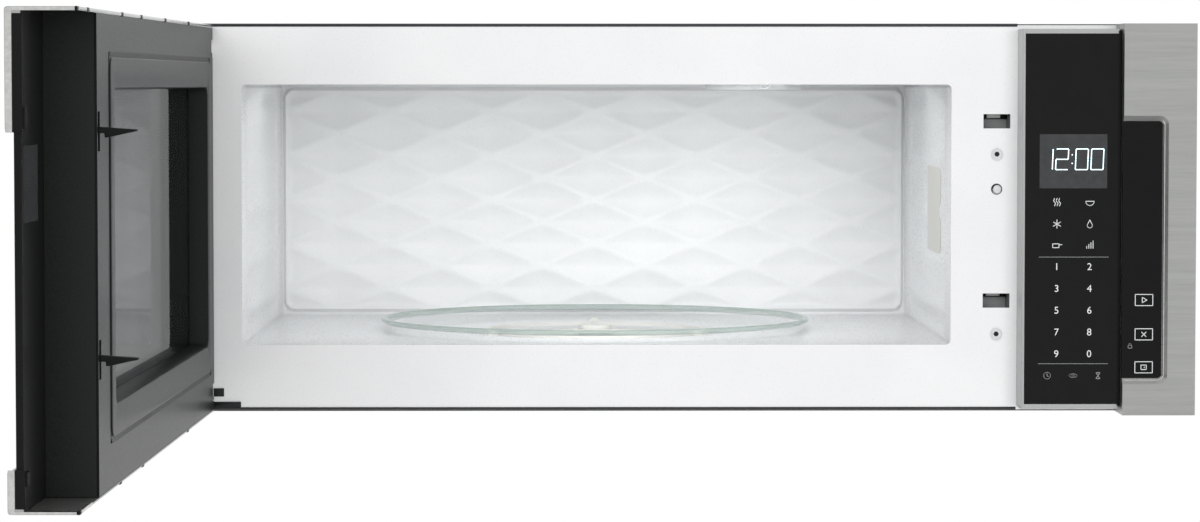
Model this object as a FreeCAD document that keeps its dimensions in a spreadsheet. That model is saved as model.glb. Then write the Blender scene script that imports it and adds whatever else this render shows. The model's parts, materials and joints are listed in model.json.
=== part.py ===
import FreeCAD, Part
import math
import os
import Sketcher

# Over the range microwave oven, hung on a wall plate, with its door standing open.
#
# Frame: millimetres, +Z up, the front faces -Y, +X is to the right seen from the front.
# The origin is the middle of the wall plate's rear face, which lies against the wall.
#
# The door's own pieces are drawn closed, in a frame whose origin is the hinge axis:
# x runs to the free edge, y runs from the front face back to the oven, z is shared.

V = FreeCAD.Vector
doc = FreeCAD.newDocument("over_range_oven")

SIZES = {
    # cabinet
    "case_width": 759.0,
    "case_height": 297.0,
    "case_depth": 424.0,
    "case_gauge": 0.8,
    "frame_gauge": 1.2,
    "frame_return": 14.0,
    "plate_gauge": 1.6,
    "plate_width": 700.0,
    "plate_height": 250.0,
    "stud_pitch": 406.4,
    "panel_setback": 9.0,
    "bolt_pitch": 586.4,
    "bolt_hole": 3.4,
    # oven cavity
    "cavity_width": 544.5,
    "cavity_height": 200.0,
    "cavity_depth": 380.0,
    "cavity_side": 32.7,
    "cavity_rise": 50.8,
    "cavity_gauge": 0.8,
    "cavity_flange": 9.0,
    "quilt_pitch_across": 91.0,
    "quilt_pitch_up": 38.0,
    "quilt_rise": 2.0,
    "quilt_margin": 16.0,
    "quilt_seam": 2.4,
    "bead_width": 5.0,
    "well_radius": 118.0,
    "well_depth": 6.0,
    # turntable and its drive
    "glass_radius": 175.0,
    "glass_thick": 3.5,
    "glass_rim": 3.0,
    "roller_radius": 4.5,
    "roller_width": 8.0,
    "roller_track": 98.0,
    "axle_radius": 1.5,
    "coupler_radius": 13.0,
    "shaft_radius": 4.0,
    "running_gap": 0.3,
    "bore_gap": 0.05,
    # door
    "door_gap": 2.0,
    "door_thick": 41.6,
    "door_reveal": 1.0,
    "pivot_inset": 6.0,
    "pivot_forward": 7.5,
    "door_angle": 91.0,
    "skin_gauge": 1.0,
    "skin_round": 2.0,
    "band_top": 71.0,
    "band_bottom": 24.5,
    "band_left": 22.0,
    "glass_recess": 5.0,
    "pane_thick": 3.2,
    "cover_depth": 9.4,
    "core_wall": 2.5,
    "core_gap": 8.4,
    "cover_face": 3.0,
    "window_left": 14.8,
    "window_right": 27.7,
    "window_upright": 2.0,
    "window_recess": 14.0,
    "groove_width": 3.0,
    "groove_depth": 1.2,
    # hinge
    "pin_radius": 2.5,
    "leaf_half": 4.0,
    "leaf_gauge": 2.5,
    "leaf_low": 9.0,
    "leaf_drop": 25.0,
    "pin_rise": 9.0,
    "bush_radius": 5.0,
    # latch
    "latch_setback": 15.8,
    "latch_width": 6.0,
    "latch_reach": 23.6,
    "latch_travel": 2.5,
    "spring_radius": 2.2,
    "spring_wire": 0.8,
    "slot_width": 20.7,
    "slot_height": 11.0,
    "slot_upper": 222.6,
    "slot_lower": 84.8,
    "barb_drop": 6.8,
    "screw_upper": 196.6,
    "screw_lower": 58.4,
    "screw_radius": 4.6,
    "stud_height": 169.7,
    "stud_radius": 3.3,
    # control block and end trim
    "trim_width": 55.6,
    "control_gap": 1.9,
    "control_width": 73.6,
    "control_forward": 31.0,
    "control_margin": 4.0,
    "control_face_inset": 2.2,
    "control_pane": 3.0,
    "display_width": 51.4,
    "display_height": 41.3,
    "display_rise": 172.0,
    "notch_low": 24.0,
    "notch_high": 227.2,
    "notch_width": 33.9,
    "notch_bevel": 4.0,
    "notch_corner": 7.0,
    # ventilation
    "duct_width": 254.0,
    "duct_depth": 82.6,
    "collar_height": 3.8,
    "collar_depth": 16.0,
    "collar_wall": 1.2,
    "collar_brim": 12.0,
    "flap_drop": 8.0,
    "flap_inset": 6.0,
    "flap_pin": 2.0,
    "wheel_radius": 50.0,
    "blade_count": 24.0,
    "filter_width": 268.0,
    "filter_depth": 150.0,
    "filter_thick": 9.0,
    "filter_travel": 8.0,
    "filter_offset": 175.0,
    "filter_back": 60.0,
    "filter_ledge": 6.0,
    "lamp_gap": 48.5,
    "lamp_setback": 70.0,
    # electrical compartment
    "guide_gauge": 1.0,
    "guide_reach": 22.0,
    "magnetron_height": 88.0,
    "gland_inset": 40.0,
    "gland_setback": 200.0,
    "gland_bore": 4.5,
    "gland_shank": 10.5,
    "gland_flange": 15.0,
    "gland_depth": 8.0,
    "gland_rise": 3.4,
}

# Places worked out from the sizes; the names that start with door_, core_ and thin_
# are in the door's own frame.
PLACES = {
    "front": "=-size.case_depth",
    "left": "=-size.case_width / 2",
    "right": "=size.case_width / 2",
    "base": "=-size.case_height / 2",
    "top": "=size.case_height / 2",
    "panel_rear": "=-size.panel_setback",
    "cavity_left": "=left + size.cavity_side",
    "cavity_right": "=cavity_left + size.cavity_width",
    "cavity_mid": "=(cavity_left + cavity_right) / 2",
    "cavity_floor": "=base + size.cavity_rise",
    "cavity_ceiling": "=cavity_floor + size.cavity_height",
    "cavity_rear": "=front + size.cavity_depth",
    "turn_y": "=(front + cavity_rear) / 2",
    "well_floor": "=cavity_floor - size.well_depth",
    "glass_under": "=well_floor + 2 * size.running_gap + 2 * size.roller_radius",
    "trim_left": "=right - size.trim_width",
    "trim_front": "=front - size.door_gap - size.door_thick",
    "control_right": "=trim_left - size.control_gap",
    "control_left": "=control_right - size.control_width",
    "control_front": "=front - size.control_forward",
    "pivot_x": "=left + size.pivot_inset",
    "pivot_y": "=front - size.pivot_forward",
    "leaf_high": "=size.case_height - size.leaf_drop",
    "latch_x": "=control_left - size.latch_setback",
    "door_left": "=-size.pivot_inset",
    "door_free": "=control_right - pivot_x",
    "door_inner": "=size.pivot_forward - size.door_gap",
    "door_front": "=door_inner - size.door_thick",
    "door_base": "=base + size.door_reveal",
    "door_top": "=top - size.door_reveal",
    "pane_front": "=door_front + size.glass_recess",
    "pane_rear": "=pane_front + size.pane_thick",
    "thin_rear": "=door_front + size.cover_depth",
    "filter_rear": "=-size.filter_back",
    "filter_front": "=filter_rear - size.filter_depth",
    "filter_floor": "=base + size.case_gauge + size.running_gap",
    "filter_roof": "=filter_floor + size.filter_thick",
    "compartment": "=cavity_right + size.cavity_gauge",
    "lamp_x": "=compartment - size.lamp_gap",
    "bay_width": "=right - size.case_gauge - compartment",
    "yoke_width": "=0.388 * bay_width",
    "core_width": "=0.466 * bay_width",
    "core_x": "=compartment + 0.078 * bay_width",
    "can_radius": "=0.089 * bay_width",
    "can_left": "=right - 0.277 * bay_width",
    "can_right": "=right - 0.166 * bay_width",
    "fan_radius": "=0.244 * bay_width",
    "fan_x": "=compartment + 0.466 * bay_width",
    "fan_z": "=feed_z + 44",
    "wheel_width": "=0.255 * bay_width",
    "feed_y": "=front + 130",
    "feed_z": "=cavity_floor + size.cavity_height / 2",
    "duct_y": "=panel_rear - 4 - size.duct_depth / 2",
    "core_start": "=size.bush_radius + size.core_wall",
    "core_end": "=control_left - size.core_gap - pivot_x",
    "core_low": "=door_base + size.skin_gauge + 0.3",
    "core_high": "=door_top - size.skin_gauge - 0.3",
    "bar_high": "=(base + size.slot_upper + core_high) / 2",
    "window_x0": "=cavity_left + size.window_left - pivot_x",
    "window_x1": "=cavity_right - size.window_right - pivot_x",
    "window_z0": "=cavity_floor + size.window_upright",
    "window_z1": "=cavity_ceiling - size.window_upright",
    "window_y": "=door_inner - size.window_recess",
    "choke_end": "=latch_x - pivot_x - 8",
    "display_left": "=control_left + 13.5",
    "display_low": "=base + size.display_rise",
    "latch_local": "=latch_x - pivot_x",
}


def fill_sheet(name, entries):
    """Put one named value in each row of a new sheet."""
    sheet = doc.addObject("Spreadsheet::Sheet", name)
    for row, (alias, content) in enumerate(entries.items(), start=1):
        sheet.set("A%d" % row, alias)
        sheet.set("B%d" % row, str(content))
        sheet.setAlias("B%d" % row, alias)
    doc.recompute()
    return sheet


size = fill_sheet("size", SIZES)
place = fill_sheet("place", PLACES)

nodes = []


def keep(item, label):
    """Give a finished sub-part its name."""
    item.Label = label
    nodes.append(item)
    return item


# ---------------------------------------------------------------- helpers


def block(name, x0, x1, y0, y1, z0, z1):
    """A box between six bound faces."""
    item = doc.addObject("Part::Box", name)
    for prop, low, high in (("Length", x0, x1), ("Width", y0, y1), ("Height", z0, z1)):
        item.setExpression(prop, "(%s) - (%s)" % (high, low))
    for axis, low in (("x", x0), ("y", y0), ("z", z0)):
        item.setExpression("Placement.Base." + axis, low)
    return item


TURNS = {
    "X": FreeCAD.Rotation(V(0, 1, 0), 90),
    "Y": FreeCAD.Rotation(V(1, 0, 0), -90),
    "Z": FreeCAD.Rotation(),
}


def rod(name, axis, start, radius, length):
    """A cylinder along +X, +Y or +Z from a bound start point."""
    item = doc.addObject("Part::Cylinder", name)
    item.Placement = FreeCAD.Placement(V(), TURNS[axis])
    item.setExpression("Radius", radius)
    item.setExpression("Height", length)
    for letter, rule in zip("xyz", start):
        item.setExpression("Placement.Base." + letter, rule)
    return item


def cut(name, base, tool):
    item = doc.addObject("Part::Cut", name)
    item.Base = base
    item.Tool = tool
    return item


def join(name, shapes):
    item = doc.addObject("Part::MultiFuse", name)
    item.Shapes = shapes
    return item


def group(name, shapes):
    """Separate solids kept in one sub-part."""
    item = doc.addObject("Part::Compound", name)
    item.Links = shapes
    return item


def new_body(name):
    return doc.addObject("PartDesign::Body", name)


def origin_plane(body, letters):
    for feature in body.Origin.OriginFeatures:
        if feature.Role == letters + "_Plane":
            return feature
    raise ValueError("no plane " + letters)


def new_sketch(body, letters, offset, name):
    """A sketch on one of the body's own planes, moved along its normal."""
    sketch = body.newObject("Sketcher::SketchObject", name)
    sketch.AttachmentSupport = [(origin_plane(body, letters), "")]
    sketch.MapMode = "FlatFace"
    sketch.setExpression("AttachmentOffset.Base.z", offset)
    return sketch


def pin_point(sketch, geometry, corner, across, up):
    """Hold one point of a sketch at bound distances from the origin."""
    for kind, rule in (("DistanceX", across), ("DistanceY", up)):
        index = sketch.addConstraint(Sketcher.Constraint(kind, -1, 1, geometry, corner, 1.0))
        sketch.setExpression("Constraints[%d]" % index, rule)


def add_outline(sketch, corners):
    """A closed outline of straight lines through bound corners."""
    count = len(corners)
    ring = [V(100 * math.cos(2 * math.pi * i / count), 100 * math.sin(2 * math.pi * i / count))
            for i in range(count)]
    first = sketch.GeometryCount
    for i in range(count):
        sketch.addGeometry(Part.LineSegment(ring[i], ring[(i + 1) % count]))
    for i in range(count):
        after = first + (i + 1) % count
        sketch.addConstraint(Sketcher.Constraint("Coincident", first + i, 2, after, 1))
    for i, (across, up) in enumerate(corners):
        pin_point(sketch, first + i, 1, across, up)


def add_circle(sketch, across, up, radius):
    number = sketch.addGeometry(Part.Circle(V(1, 1), V(0, 0, 1), 2.0))
    pin_point(sketch, number, 3, across, up)
    index = sketch.addConstraint(Sketcher.Constraint("Radius", number, 2.0))
    sketch.setExpression("Constraints[%d]" % index, radius)


def rectangle(x0, x1, z0, z1):
    return [(x0, z0), (x1, z0), (x1, z1), (x0, z1)]


def pad(body, sketch, length, name):
    item = body.newObject("PartDesign::Pad", name)
    item.Profile = sketch
    item.setExpression("Length", length)
    body.Tip = item
    return item


def pocket_through(body, sketch, name):
    """Cut a sketch's outline right through the body, both ways."""
    item = body.newObject("PartDesign::Pocket", name)
    item.Profile = sketch
    item.Type = "ThroughAll"
    item.Midplane = True
    body.Tip = item
    return item


def pocket_deep(body, sketch, length, name, reverse=False):
    """Cut a sketch's outline to a bound depth."""
    item = body.newObject("PartDesign::Pocket", name)
    item.Profile = sketch
    item.setExpression("Length", length)
    item.Reversed = reverse
    body.Tip = item
    return item


def turned_body(name, corners, offset="0"):
    """A revolved body: the outline's x is the radius and its y is the height."""
    body = new_body(name)
    sketch = new_sketch(body, "XZ", offset, name + "_outline")
    add_outline(sketch, corners)
    item = body.newObject("PartDesign::Revolution", name + "_turn")
    item.Profile = sketch
    item.ReferenceAxis = (sketch, ["V_Axis"])
    item.Angle = 360.0
    body.Tip = item
    return body


def round_edges(body, wanted, radius, name):
    """Round the edges of the body's last feature that pass a test."""
    doc.recompute()
    tip = body.Tip
    edges = ["Edge%d" % (i + 1) for i, edge in enumerate(tip.Shape.Edges) if wanted(edge)]
    item = body.newObject("PartDesign::Fillet", name)
    item.Base = (tip, edges)
    item.setExpression("Radius", radius)
    body.Tip = item
    return item


def edge_runs_along(edge, direction):
    if not isinstance(edge.Curve, Part.Line):
        return False
    return abs(abs(edge.Curve.Direction.dot(direction)) - 1.0) < 1e-6


def set_door_place(item):
    """Swing a piece drawn closed, in the door's own frame, to the open door."""
    turn = FreeCAD.Rotation(V(0, 0, 1), -size.door_angle)
    item.Placement = FreeCAD.Placement(V(place.pivot_x, place.pivot_y, 0), turn)
    return item


def solid_feature(name, shape, where=None):
    item = doc.addObject("Part::Feature", name)
    item.Shape = shape
    item.Placement = where or FreeCAD.Placement()
    return item


def span_box(x0, x1, y0, y1, z0, z1):
    return Part.makeBox(x1 - x0, y1 - y0, z1 - z0, V(x0, y0, z0))


def rounded_prism(width, height, thick, radius):
    """A plate centred on x and y, with round corners, from z = 0 up."""
    box = Part.makeBox(width, height, thick, V(-width / 2, -height / 2, 0))
    upright = [edge for edge in box.Edges if edge_runs_along(edge, V(0, 0, 1))]
    return box.makeFillet(radius, upright)


# ---------------------------------------------------------------- cabinet shell


def make_wall_plate():
    """Flat steel plate screwed to the wall, with lugs that the cabinet hangs on."""
    body = new_body("wall_plate_body")
    sheet = new_sketch(body, "XZ", "0", "plate_outline")
    add_outline(sheet, rectangle("-size.plate_width / 2", "size.plate_width / 2",
                                 "-size.plate_height / 2", "size.plate_height / 2"))
    pad(body, sheet, "size.plate_gauge", "plate_sheet")
    holes = new_sketch(body, "XZ", "0", "plate_holes")
    for side in ("-1", "1"):
        near, far = side + " * 60", side + " * (size.plate_width / 2 - 60)"
        add_outline(holes, rectangle(near, far, "-40", "60"))
    for side in ("-", ""):
        for level in ("-size.plate_height / 2 + 30", "size.plate_height / 2 - 30"):
            add_circle(holes, side + "size.stud_pitch / 2", level, "3.5")
    pocket_through(body, holes, "plate_openings")
    lugs = []
    for side in ("-1", "1"):
        middle = side + " * (size.plate_width / 2 - 40)"
        lugs.append(block("plate_lug", middle + " - 12", middle + " + 12",
                          "place.panel_rear - 3", "-size.plate_gauge / 2",
                          "-size.plate_height / 2 + 6", "-size.plate_height / 2 + 9"))
        lugs.append(block("plate_lug_tip", middle + " - 12", middle + " + 12",
                          "place.panel_rear - 3", "place.panel_rear - 1.4",
                          "-size.plate_height / 2 + 6", "-size.plate_height / 2 + 20"))
    keep(join("wall_plate", [body] + lugs), "wall_mounting_plate")


def make_rear_panel():
    """Back of the cabinet, with slots that drop over the wall plate's lugs."""
    body = new_body("rear_panel_body")
    sheet = new_sketch(body, "XZ", "-place.panel_rear", "rear_outline")
    add_outline(sheet, rectangle("place.left + size.case_gauge", "place.right - size.case_gauge",
                                 "place.base + size.case_gauge", "place.top - size.case_gauge"))
    pad(body, sheet, "size.case_gauge", "rear_sheet")
    slots = new_sketch(body, "XZ", "0", "rear_slots")
    for side in ("-1", "1"):
        middle = side + " * (size.plate_width / 2 - 40)"
        add_outline(slots, rectangle(middle + " - 14", middle + " + 14",
                                     "-size.plate_height / 2 - 6",
                                     "-size.plate_height / 2 + 9 + size.running_gap"))
    pocket_through(body, slots, "rear_openings")
    keep(body, "rear_panel")


def make_outer_case():
    """Folded wrapper over the top and both sides, open at the exhaust."""
    body = new_body("outer_case_body")
    fold = new_sketch(body, "XZ", "-place.panel_rear", "case_fold")
    add_outline(fold, [
        ("place.left", "place.base"),
        ("place.left + size.case_gauge", "place.base"),
        ("place.left + size.case_gauge", "place.top - size.case_gauge"),
        ("place.right - size.case_gauge", "place.top - size.case_gauge"),
        ("place.right - size.case_gauge", "place.base"),
        ("place.right", "place.base"),
        ("place.right", "place.top"),
        ("place.left", "place.top"),
    ])
    pad(body, fold, "place.panel_rear - place.front", "case_sheet")
    holes = new_sketch(body, "XY", "place.top", "case_holes")
    add_outline(holes, rectangle("-size.duct_width / 2", "size.duct_width / 2",
                                 "place.duct_y - size.duct_depth / 2", "place.duct_y + size.duct_depth / 2"))
    for side in ("-", ""):
        add_circle(holes, side + "size.bolt_pitch / 2", "place.front + 60", "size.bolt_hole")
    add_circle(holes, "place.right - size.gland_inset", "-size.gland_setback", "size.gland_shank + 0.5")
    pocket_through(body, holes, "case_openings")
    keep(body, "outer_case")


def make_base_pan():
    """Underside, with ledges for two grease filters and windows for two lamps."""
    body = new_body("base_pan_body")
    sheet = new_sketch(body, "XY", "place.base", "base_outline")
    add_outline(sheet, rectangle("place.left + size.case_gauge", "place.right - size.case_gauge",
                                 "place.front", "place.panel_rear - size.case_gauge"))
    pad(body, sheet, "size.case_gauge", "base_sheet")
    holes = new_sketch(body, "XY", "place.base", "base_holes")
    for side in ("-1", "1"):
        middle = side + " * size.filter_offset"
        half = "(size.filter_width / 2 - size.filter_ledge)"
        add_outline(holes, rectangle(middle + " - " + half, middle + " + " + half,
                                     "place.filter_front + size.filter_ledge",
                                     "place.filter_rear - size.filter_travel - size.filter_ledge"))
        lamp = side + " * place.lamp_x"
        add_outline(holes, rectangle(lamp + " - 34", lamp + " + 34",
                                     "place.front + size.lamp_setback - 24",
                                     "place.front + size.lamp_setback + 24"))
    pocket_through(body, holes, "base_openings")
    rails = []
    for side in ("-1", "1"):
        for edge in ("-1", "1"):
            inner = "%s * size.filter_offset + %s * (size.filter_width / 2 + size.running_gap)" % (side, edge)
            rail = block("filter_rail", inner + (" - 1" if edge == "-1" else ""),
                         inner + ("" if edge == "-1" else " + 1"),
                         "place.filter_front", "place.filter_rear + size.filter_travel",
                         "place.base + size.case_gauge / 2", "place.filter_roof + 1.5")
            rails.append(rail)
    keep(join("base_pan_join", [body] + rails), "base_pan")


def make_front_frame():
    """Painted front plate with folded edges, the oven's mouth and the latch slots."""
    body = new_body("front_frame_body")
    rear = "-(place.front + size.frame_return)"
    sheet = new_sketch(body, "XZ", rear, "frame_outline")
    add_outline(sheet, rectangle("place.left + size.case_gauge", "place.right - size.case_gauge",
                                 "place.base + size.case_gauge", "place.top - size.case_gauge"))
    pad(body, sheet, "size.frame_return", "frame_block")
    inside = new_sketch(body, "XZ", rear, "frame_inside")
    fold = "size.case_gauge + size.frame_gauge / 2"
    add_outline(inside, rectangle("place.left + " + fold, "place.right - (" + fold + ")",
                                  "place.base + " + fold, "place.top - (" + fold + ")"))
    pocket_deep(body, inside, "size.frame_return - size.frame_gauge", "frame_hollow", True)
    mouth = new_sketch(body, "XZ", "-place.front", "frame_mouth")
    add_outline(mouth, rectangle("place.cavity_left", "place.cavity_right",
                                 "place.cavity_floor", "place.cavity_ceiling"))
    pocket_through(body, mouth, "frame_opening")

    def at_mouth_corner(edge):
        middle = edge.CenterOfMass
        return (edge_runs_along(edge, V(0, 1, 0)) and edge.Length < 2 * size.frame_gauge
                and place.cavity_left - 1 < middle.x < place.cavity_right + 1)

    round_edges(body, at_mouth_corner, "3.5", "frame_mouth_corners")
    slots = new_sketch(body, "XZ", "-place.front", "frame_slots")
    for level in ("size.slot_upper", "size.slot_lower"):
        add_outline(slots, rectangle("place.latch_x - size.slot_width / 2",
                                     "place.latch_x + size.slot_width / 2",
                                     "place.base + %s - size.slot_height / 2" % level,
                                     "place.base + %s + size.slot_height / 2" % level))
    for level in ("size.screw_upper", "size.screw_lower"):
        add_circle(slots, "place.latch_x", "place.base + " + level, "2.1")
    add_circle(slots, "place.latch_x", "place.base + size.stud_height", "size.stud_radius + 0.3")
    for level in ("size.leaf_low", "place.leaf_high"):
        add_outline(slots, rectangle("place.pivot_x - size.leaf_half - 0.35",
                                     "place.pivot_x + size.leaf_half + 0.5",
                                     "place.base + %s - 0.4" % level,
                                     "place.base + %s + size.leaf_gauge + 0.4" % level))
    pocket_through(body, slots, "frame_slots_cut")
    keep(body, "front_frame")


# ---------------------------------------------------------------- oven cavity


def diamond(half_across, half_up, height):
    corners = [V(half_across, 0, height), V(0, half_up, height),
               V(-half_across, 0, height), V(0, -half_up, height)]
    return Part.makePolygon(corners + corners[:1])


def quilt(width, height):
    """Staggered raised diamonds on the z = 0 plane, trimmed to a rounded rectangle."""
    half_across = size.quilt_pitch_across / 2 - size.quilt_seam
    half_up = size.quilt_pitch_up / 2 - size.quilt_seam / 2
    pillow = Part.makeLoft([diamond(half_across, half_up, -0.2),
                            diamond(half_across * 0.55, half_up * 0.55, size.quilt_rise)], True, True)
    columns = int(width / size.quilt_pitch_across) + 2
    rows = int(height / size.quilt_pitch_up) + 2
    pillows = []
    for column in range(-columns, columns + 1):
        for row in range(-rows, rows + 1):
            if (column + row) % 2:
                continue
            place_at = V(column * size.quilt_pitch_across / 2, row * size.quilt_pitch_up / 2, 0)
            if abs(place_at.x) > width / 2 or abs(place_at.y) > height / 2:
                continue
            pillows.append(pillow.translated(place_at))
    field = rounded_prism(width, height, size.quilt_rise + 1, 8)
    field.translate(V(0, 0, -0.5))
    return [piece for piece in Part.makeCompound(pillows).common(field).Solids if piece.Volume > 20]


def bead(width, height):
    """A raised rounded bead round the quilted field."""
    outer = rounded_prism(width + 2 * size.bead_width, height + 2 * size.bead_width, size.quilt_rise + 0.2, 13)
    inner = rounded_prism(width, height, size.quilt_rise + 1, 8)
    ring = outer.cut(inner)
    ring.translate(V(0, 0, -0.2))
    return ring


def make_oven_cavity():
    """Pressed steel liner: quilted back, ribbed sides and a sunk turntable well."""
    gauge = size.cavity_gauge
    mouth = place.front + size.frame_gauge
    shell = span_box(place.cavity_left - gauge, place.cavity_right + gauge, mouth, place.cavity_rear + gauge,
                     place.cavity_floor - gauge, place.cavity_ceiling + gauge)
    lip = size.cavity_flange
    flange = span_box(place.cavity_left - lip, place.cavity_right + lip, mouth, mouth + gauge,
                      place.cavity_floor - lip, place.cavity_ceiling + lip)
    centre = V(place.cavity_mid, place.turn_y, place.well_floor - gauge)
    well = Part.makeCylinder(size.well_radius + gauge, size.well_depth, centre)
    shell = shell.fuse([flange, well])
    room = span_box(place.cavity_left, place.cavity_right, mouth - 1, place.cavity_rear,
                    place.cavity_floor, place.cavity_ceiling)
    well_room = Part.makeCylinder(size.well_radius, size.well_depth + 1, centre + V(0, 0, gauge))
    shaft_hole = Part.makeCylinder(size.shaft_radius + 1.5, 10, centre - V(0, 0, 4))
    feed = span_box(place.cavity_right - 1, place.cavity_right + 2, place.feed_y - 45, place.feed_y + 45,
                    place.feed_z - 28, place.feed_z + 28)
    lamp = span_box(place.cavity_mid + 92, place.cavity_mid + 152, place.front + 36, place.front + 64,
                    place.cavity_ceiling - 1, place.cavity_ceiling + 2)
    shell = shell.cut(Part.makeCompound([room, well_room, shaft_hole, feed, lamp]))

    width = size.cavity_width - 2 * size.quilt_margin
    height = size.cavity_height - 2 * size.quilt_margin
    back = FreeCAD.Placement(V(place.cavity_mid, place.cavity_rear, place.feed_z),
                             FreeCAD.Rotation(V(1, 0, 0), 90))
    pressed = quilt(width - 8, height - 8) + [bead(width, height)]
    for piece in pressed:
        piece.Placement = back.multiply(piece.Placement)
    rib_length = size.cavity_depth - 110
    rib_pitch = size.quilt_pitch_up
    rib_count = int((size.cavity_height - 2 * size.quilt_margin) / rib_pitch)
    for side in (-1, 1):
        wall = place.cavity_left if side < 0 else place.cavity_right
        lean = FreeCAD.Rotation(V(0, 0, 1), V(0, side, 0), V(-side, 0, 0), "ZXY")
        for number in range(rib_count):
            level = place.feed_z + (number - (rib_count - 1) / 2) * rib_pitch
            near_feed = side > 0 and abs(level - place.feed_z) < 50
            length = rib_length / 2 if near_feed else rib_length
            shift = rib_length / 2 - length / 2
            rib = rounded_prism(rib_pitch * 0.74, length, size.quilt_rise * 0.8 + 0.2, rib_pitch * 0.3)
            rib.translate(V(0, 0, -0.2))
            seat = V(wall, (place.front + place.cavity_rear) / 2 + 14 + shift, level)
            rib.Placement = FreeCAD.Placement(seat, lean).multiply(rib.Placement)
            pressed.append(rib)
    shell = shell.fuse(pressed).removeSplitter()
    keep(solid_feature("cavity_liner", shell), "oven_cavity")


def make_cavity_lamp():
    """Moulded lens under the oven's ceiling and the bulb above it."""
    lens_tray = block("lamp_tray", "place.cavity_mid + 86", "place.cavity_mid + 158",
                      "place.front + 30", "place.front + 70",
                      "place.cavity_ceiling - 4", "place.cavity_ceiling")
    lens_room = block("lamp_room", "place.cavity_mid + 88", "place.cavity_mid + 156",
                      "place.front + 32", "place.front + 68",
                      "place.cavity_ceiling - 2.4", "place.cavity_ceiling + 1")
    keep(cut("lamp_lens", lens_tray, lens_room), "cavity_lamp_lens")
    roof = "place.cavity_ceiling + size.cavity_gauge"
    glass = rod("lamp_glass", "X", ("place.cavity_mid + 104", "place.front + 50", roof + " + 12"), "8", "30")
    socket = rod("lamp_socket", "X", ("place.cavity_mid + 134", "place.front + 50", roof + " + 12"),
                 "11", "18")
    foot = block("lamp_foot", "place.cavity_mid + 138", "place.cavity_mid + 152",
                 "place.front + 44", "place.front + 56", roof, roof + " + 4")
    keep(join("lamp_bulb", [glass, socket, foot]), "cavity_lamp_bulb")


# ---------------------------------------------------------------- microwave source


def make_waveguide():
    """Folded duct that carries the waves from the magnetron into the oven, and its cover."""
    wall = "place.compartment"
    outer = block("guide_outer", wall, wall + " + size.guide_reach", "place.feed_y - 50", "place.feed_y + 50",
                  "place.feed_z - 34", "place.feed_z + 92")
    inner = block("guide_inner", wall + " - 1", wall + " + size.guide_reach - size.guide_gauge",
                  "place.feed_y - 50 + size.guide_gauge", "place.feed_y + 50 - size.guide_gauge",
                  "place.feed_z - 34 + size.guide_gauge", "place.feed_z + 92 - size.guide_gauge")
    port = rod("guide_port", "X", (wall + " + 18", "place.feed_y", "place.feed_z + 52"), "14", "8")
    keep(cut("guide", cut("guide_hollow", outer, inner), port), "waveguide")
    cover = block("cover_sheet", "place.cavity_right - 0.7", "place.cavity_right - 0.1",
                  "place.feed_y - 52", "place.feed_y + 52", "place.feed_z - 34", "place.feed_z + 34")
    keep(cover, "waveguide_cover")


def make_magnetron():
    """Finned anode block in its yoke, with the antenna cap in the waveguide."""
    x0 = "place.compartment + size.guide_reach"
    x1 = x0 + " + place.yoke_width"
    low = "place.feed_z + 52 - size.magnetron_height / 2"
    high = "place.feed_z + 52 + size.magnetron_height / 2"
    pieces = [
        block("yoke_left", x0, x0 + " + 2", "place.feed_y - 46", "place.feed_y + 46", low, high),
        block("yoke_right", x1 + " - 2", x1, "place.feed_y - 46", "place.feed_y + 46", low, high),
        block("yoke_low", x0, x1, "place.feed_y - 46", "place.feed_y + 46", low, low + " + 2"),
        block("yoke_high", x0, x1, "place.feed_y - 46", "place.feed_y + 46", high + " - 2", high),
        rod("anode", "X", (x0, "place.feed_y", "place.feed_z + 52"), "20", "place.yoke_width"),
        rod("antenna", "X", (x0 + " - 18", "place.feed_y", "place.feed_z + 52"), "8", "20"),
        block("filter_box", x1 + " - 2", x1 + " + 0.122 * place.bay_width", "place.feed_y - 24",
              "place.feed_y + 24", "place.feed_z + 28", "place.feed_z + 76"),
    ]
    for number in range(7):
        at = "%s + %.1f * place.yoke_width" % (x0, 0.2 + 0.1 * number)
        pieces.append(block("cooling_fin", at, at + " + 1.2", "place.feed_y - 40", "place.feed_y + 40",
                            low + " + 1", high + " - 1"))
    keep(join("magnetron_join", pieces), "magnetron")


def make_power_supply():
    """High voltage transformer and its capacitor, both on the base."""
    floor = "place.base + size.case_gauge"
    y0 = "place.front + 74"
    x0 = "place.core_x"
    core = block("core_stack", x0, x0 + " + place.core_width", y0, y0 + " + 66", floor, floor + " + 62")
    inner = x0 + " + place.core_width / 6"
    outer = x0 + " + place.core_width * 5 / 6"
    coils = [block("coil", inner, outer, y0 + " - 14", y0 + " + 80", floor + low, floor + high)
             for low, high in ((" + 8", " + 28"), (" + 34", " + 54"))]
    keep(join("transformer", [core] + coils), "power_transformer")
    start = "place.front + 60"
    axis = floor + " + 2 + place.can_radius"
    left = rod("can_left", "Y", ("place.can_left", start, axis), "place.can_radius", "96")
    right = rod("can_right", "Y", ("place.can_right", start, axis), "place.can_radius", "96")
    middle = block("can_middle", "place.can_left", "place.can_right", start, start + " + 96",
                   floor + " + 2", floor + " + 2 + 2 * place.can_radius")
    strap = block("can_strap", "place.can_left - place.can_radius - 2",
                  "place.can_right + place.can_radius + 2",
                  start + " + 40", start + " + 52", floor, floor + " + 4 + 2 * place.can_radius")
    keep(join("capacitor_join", [left, right, middle, strap]), "capacitor")


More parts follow.
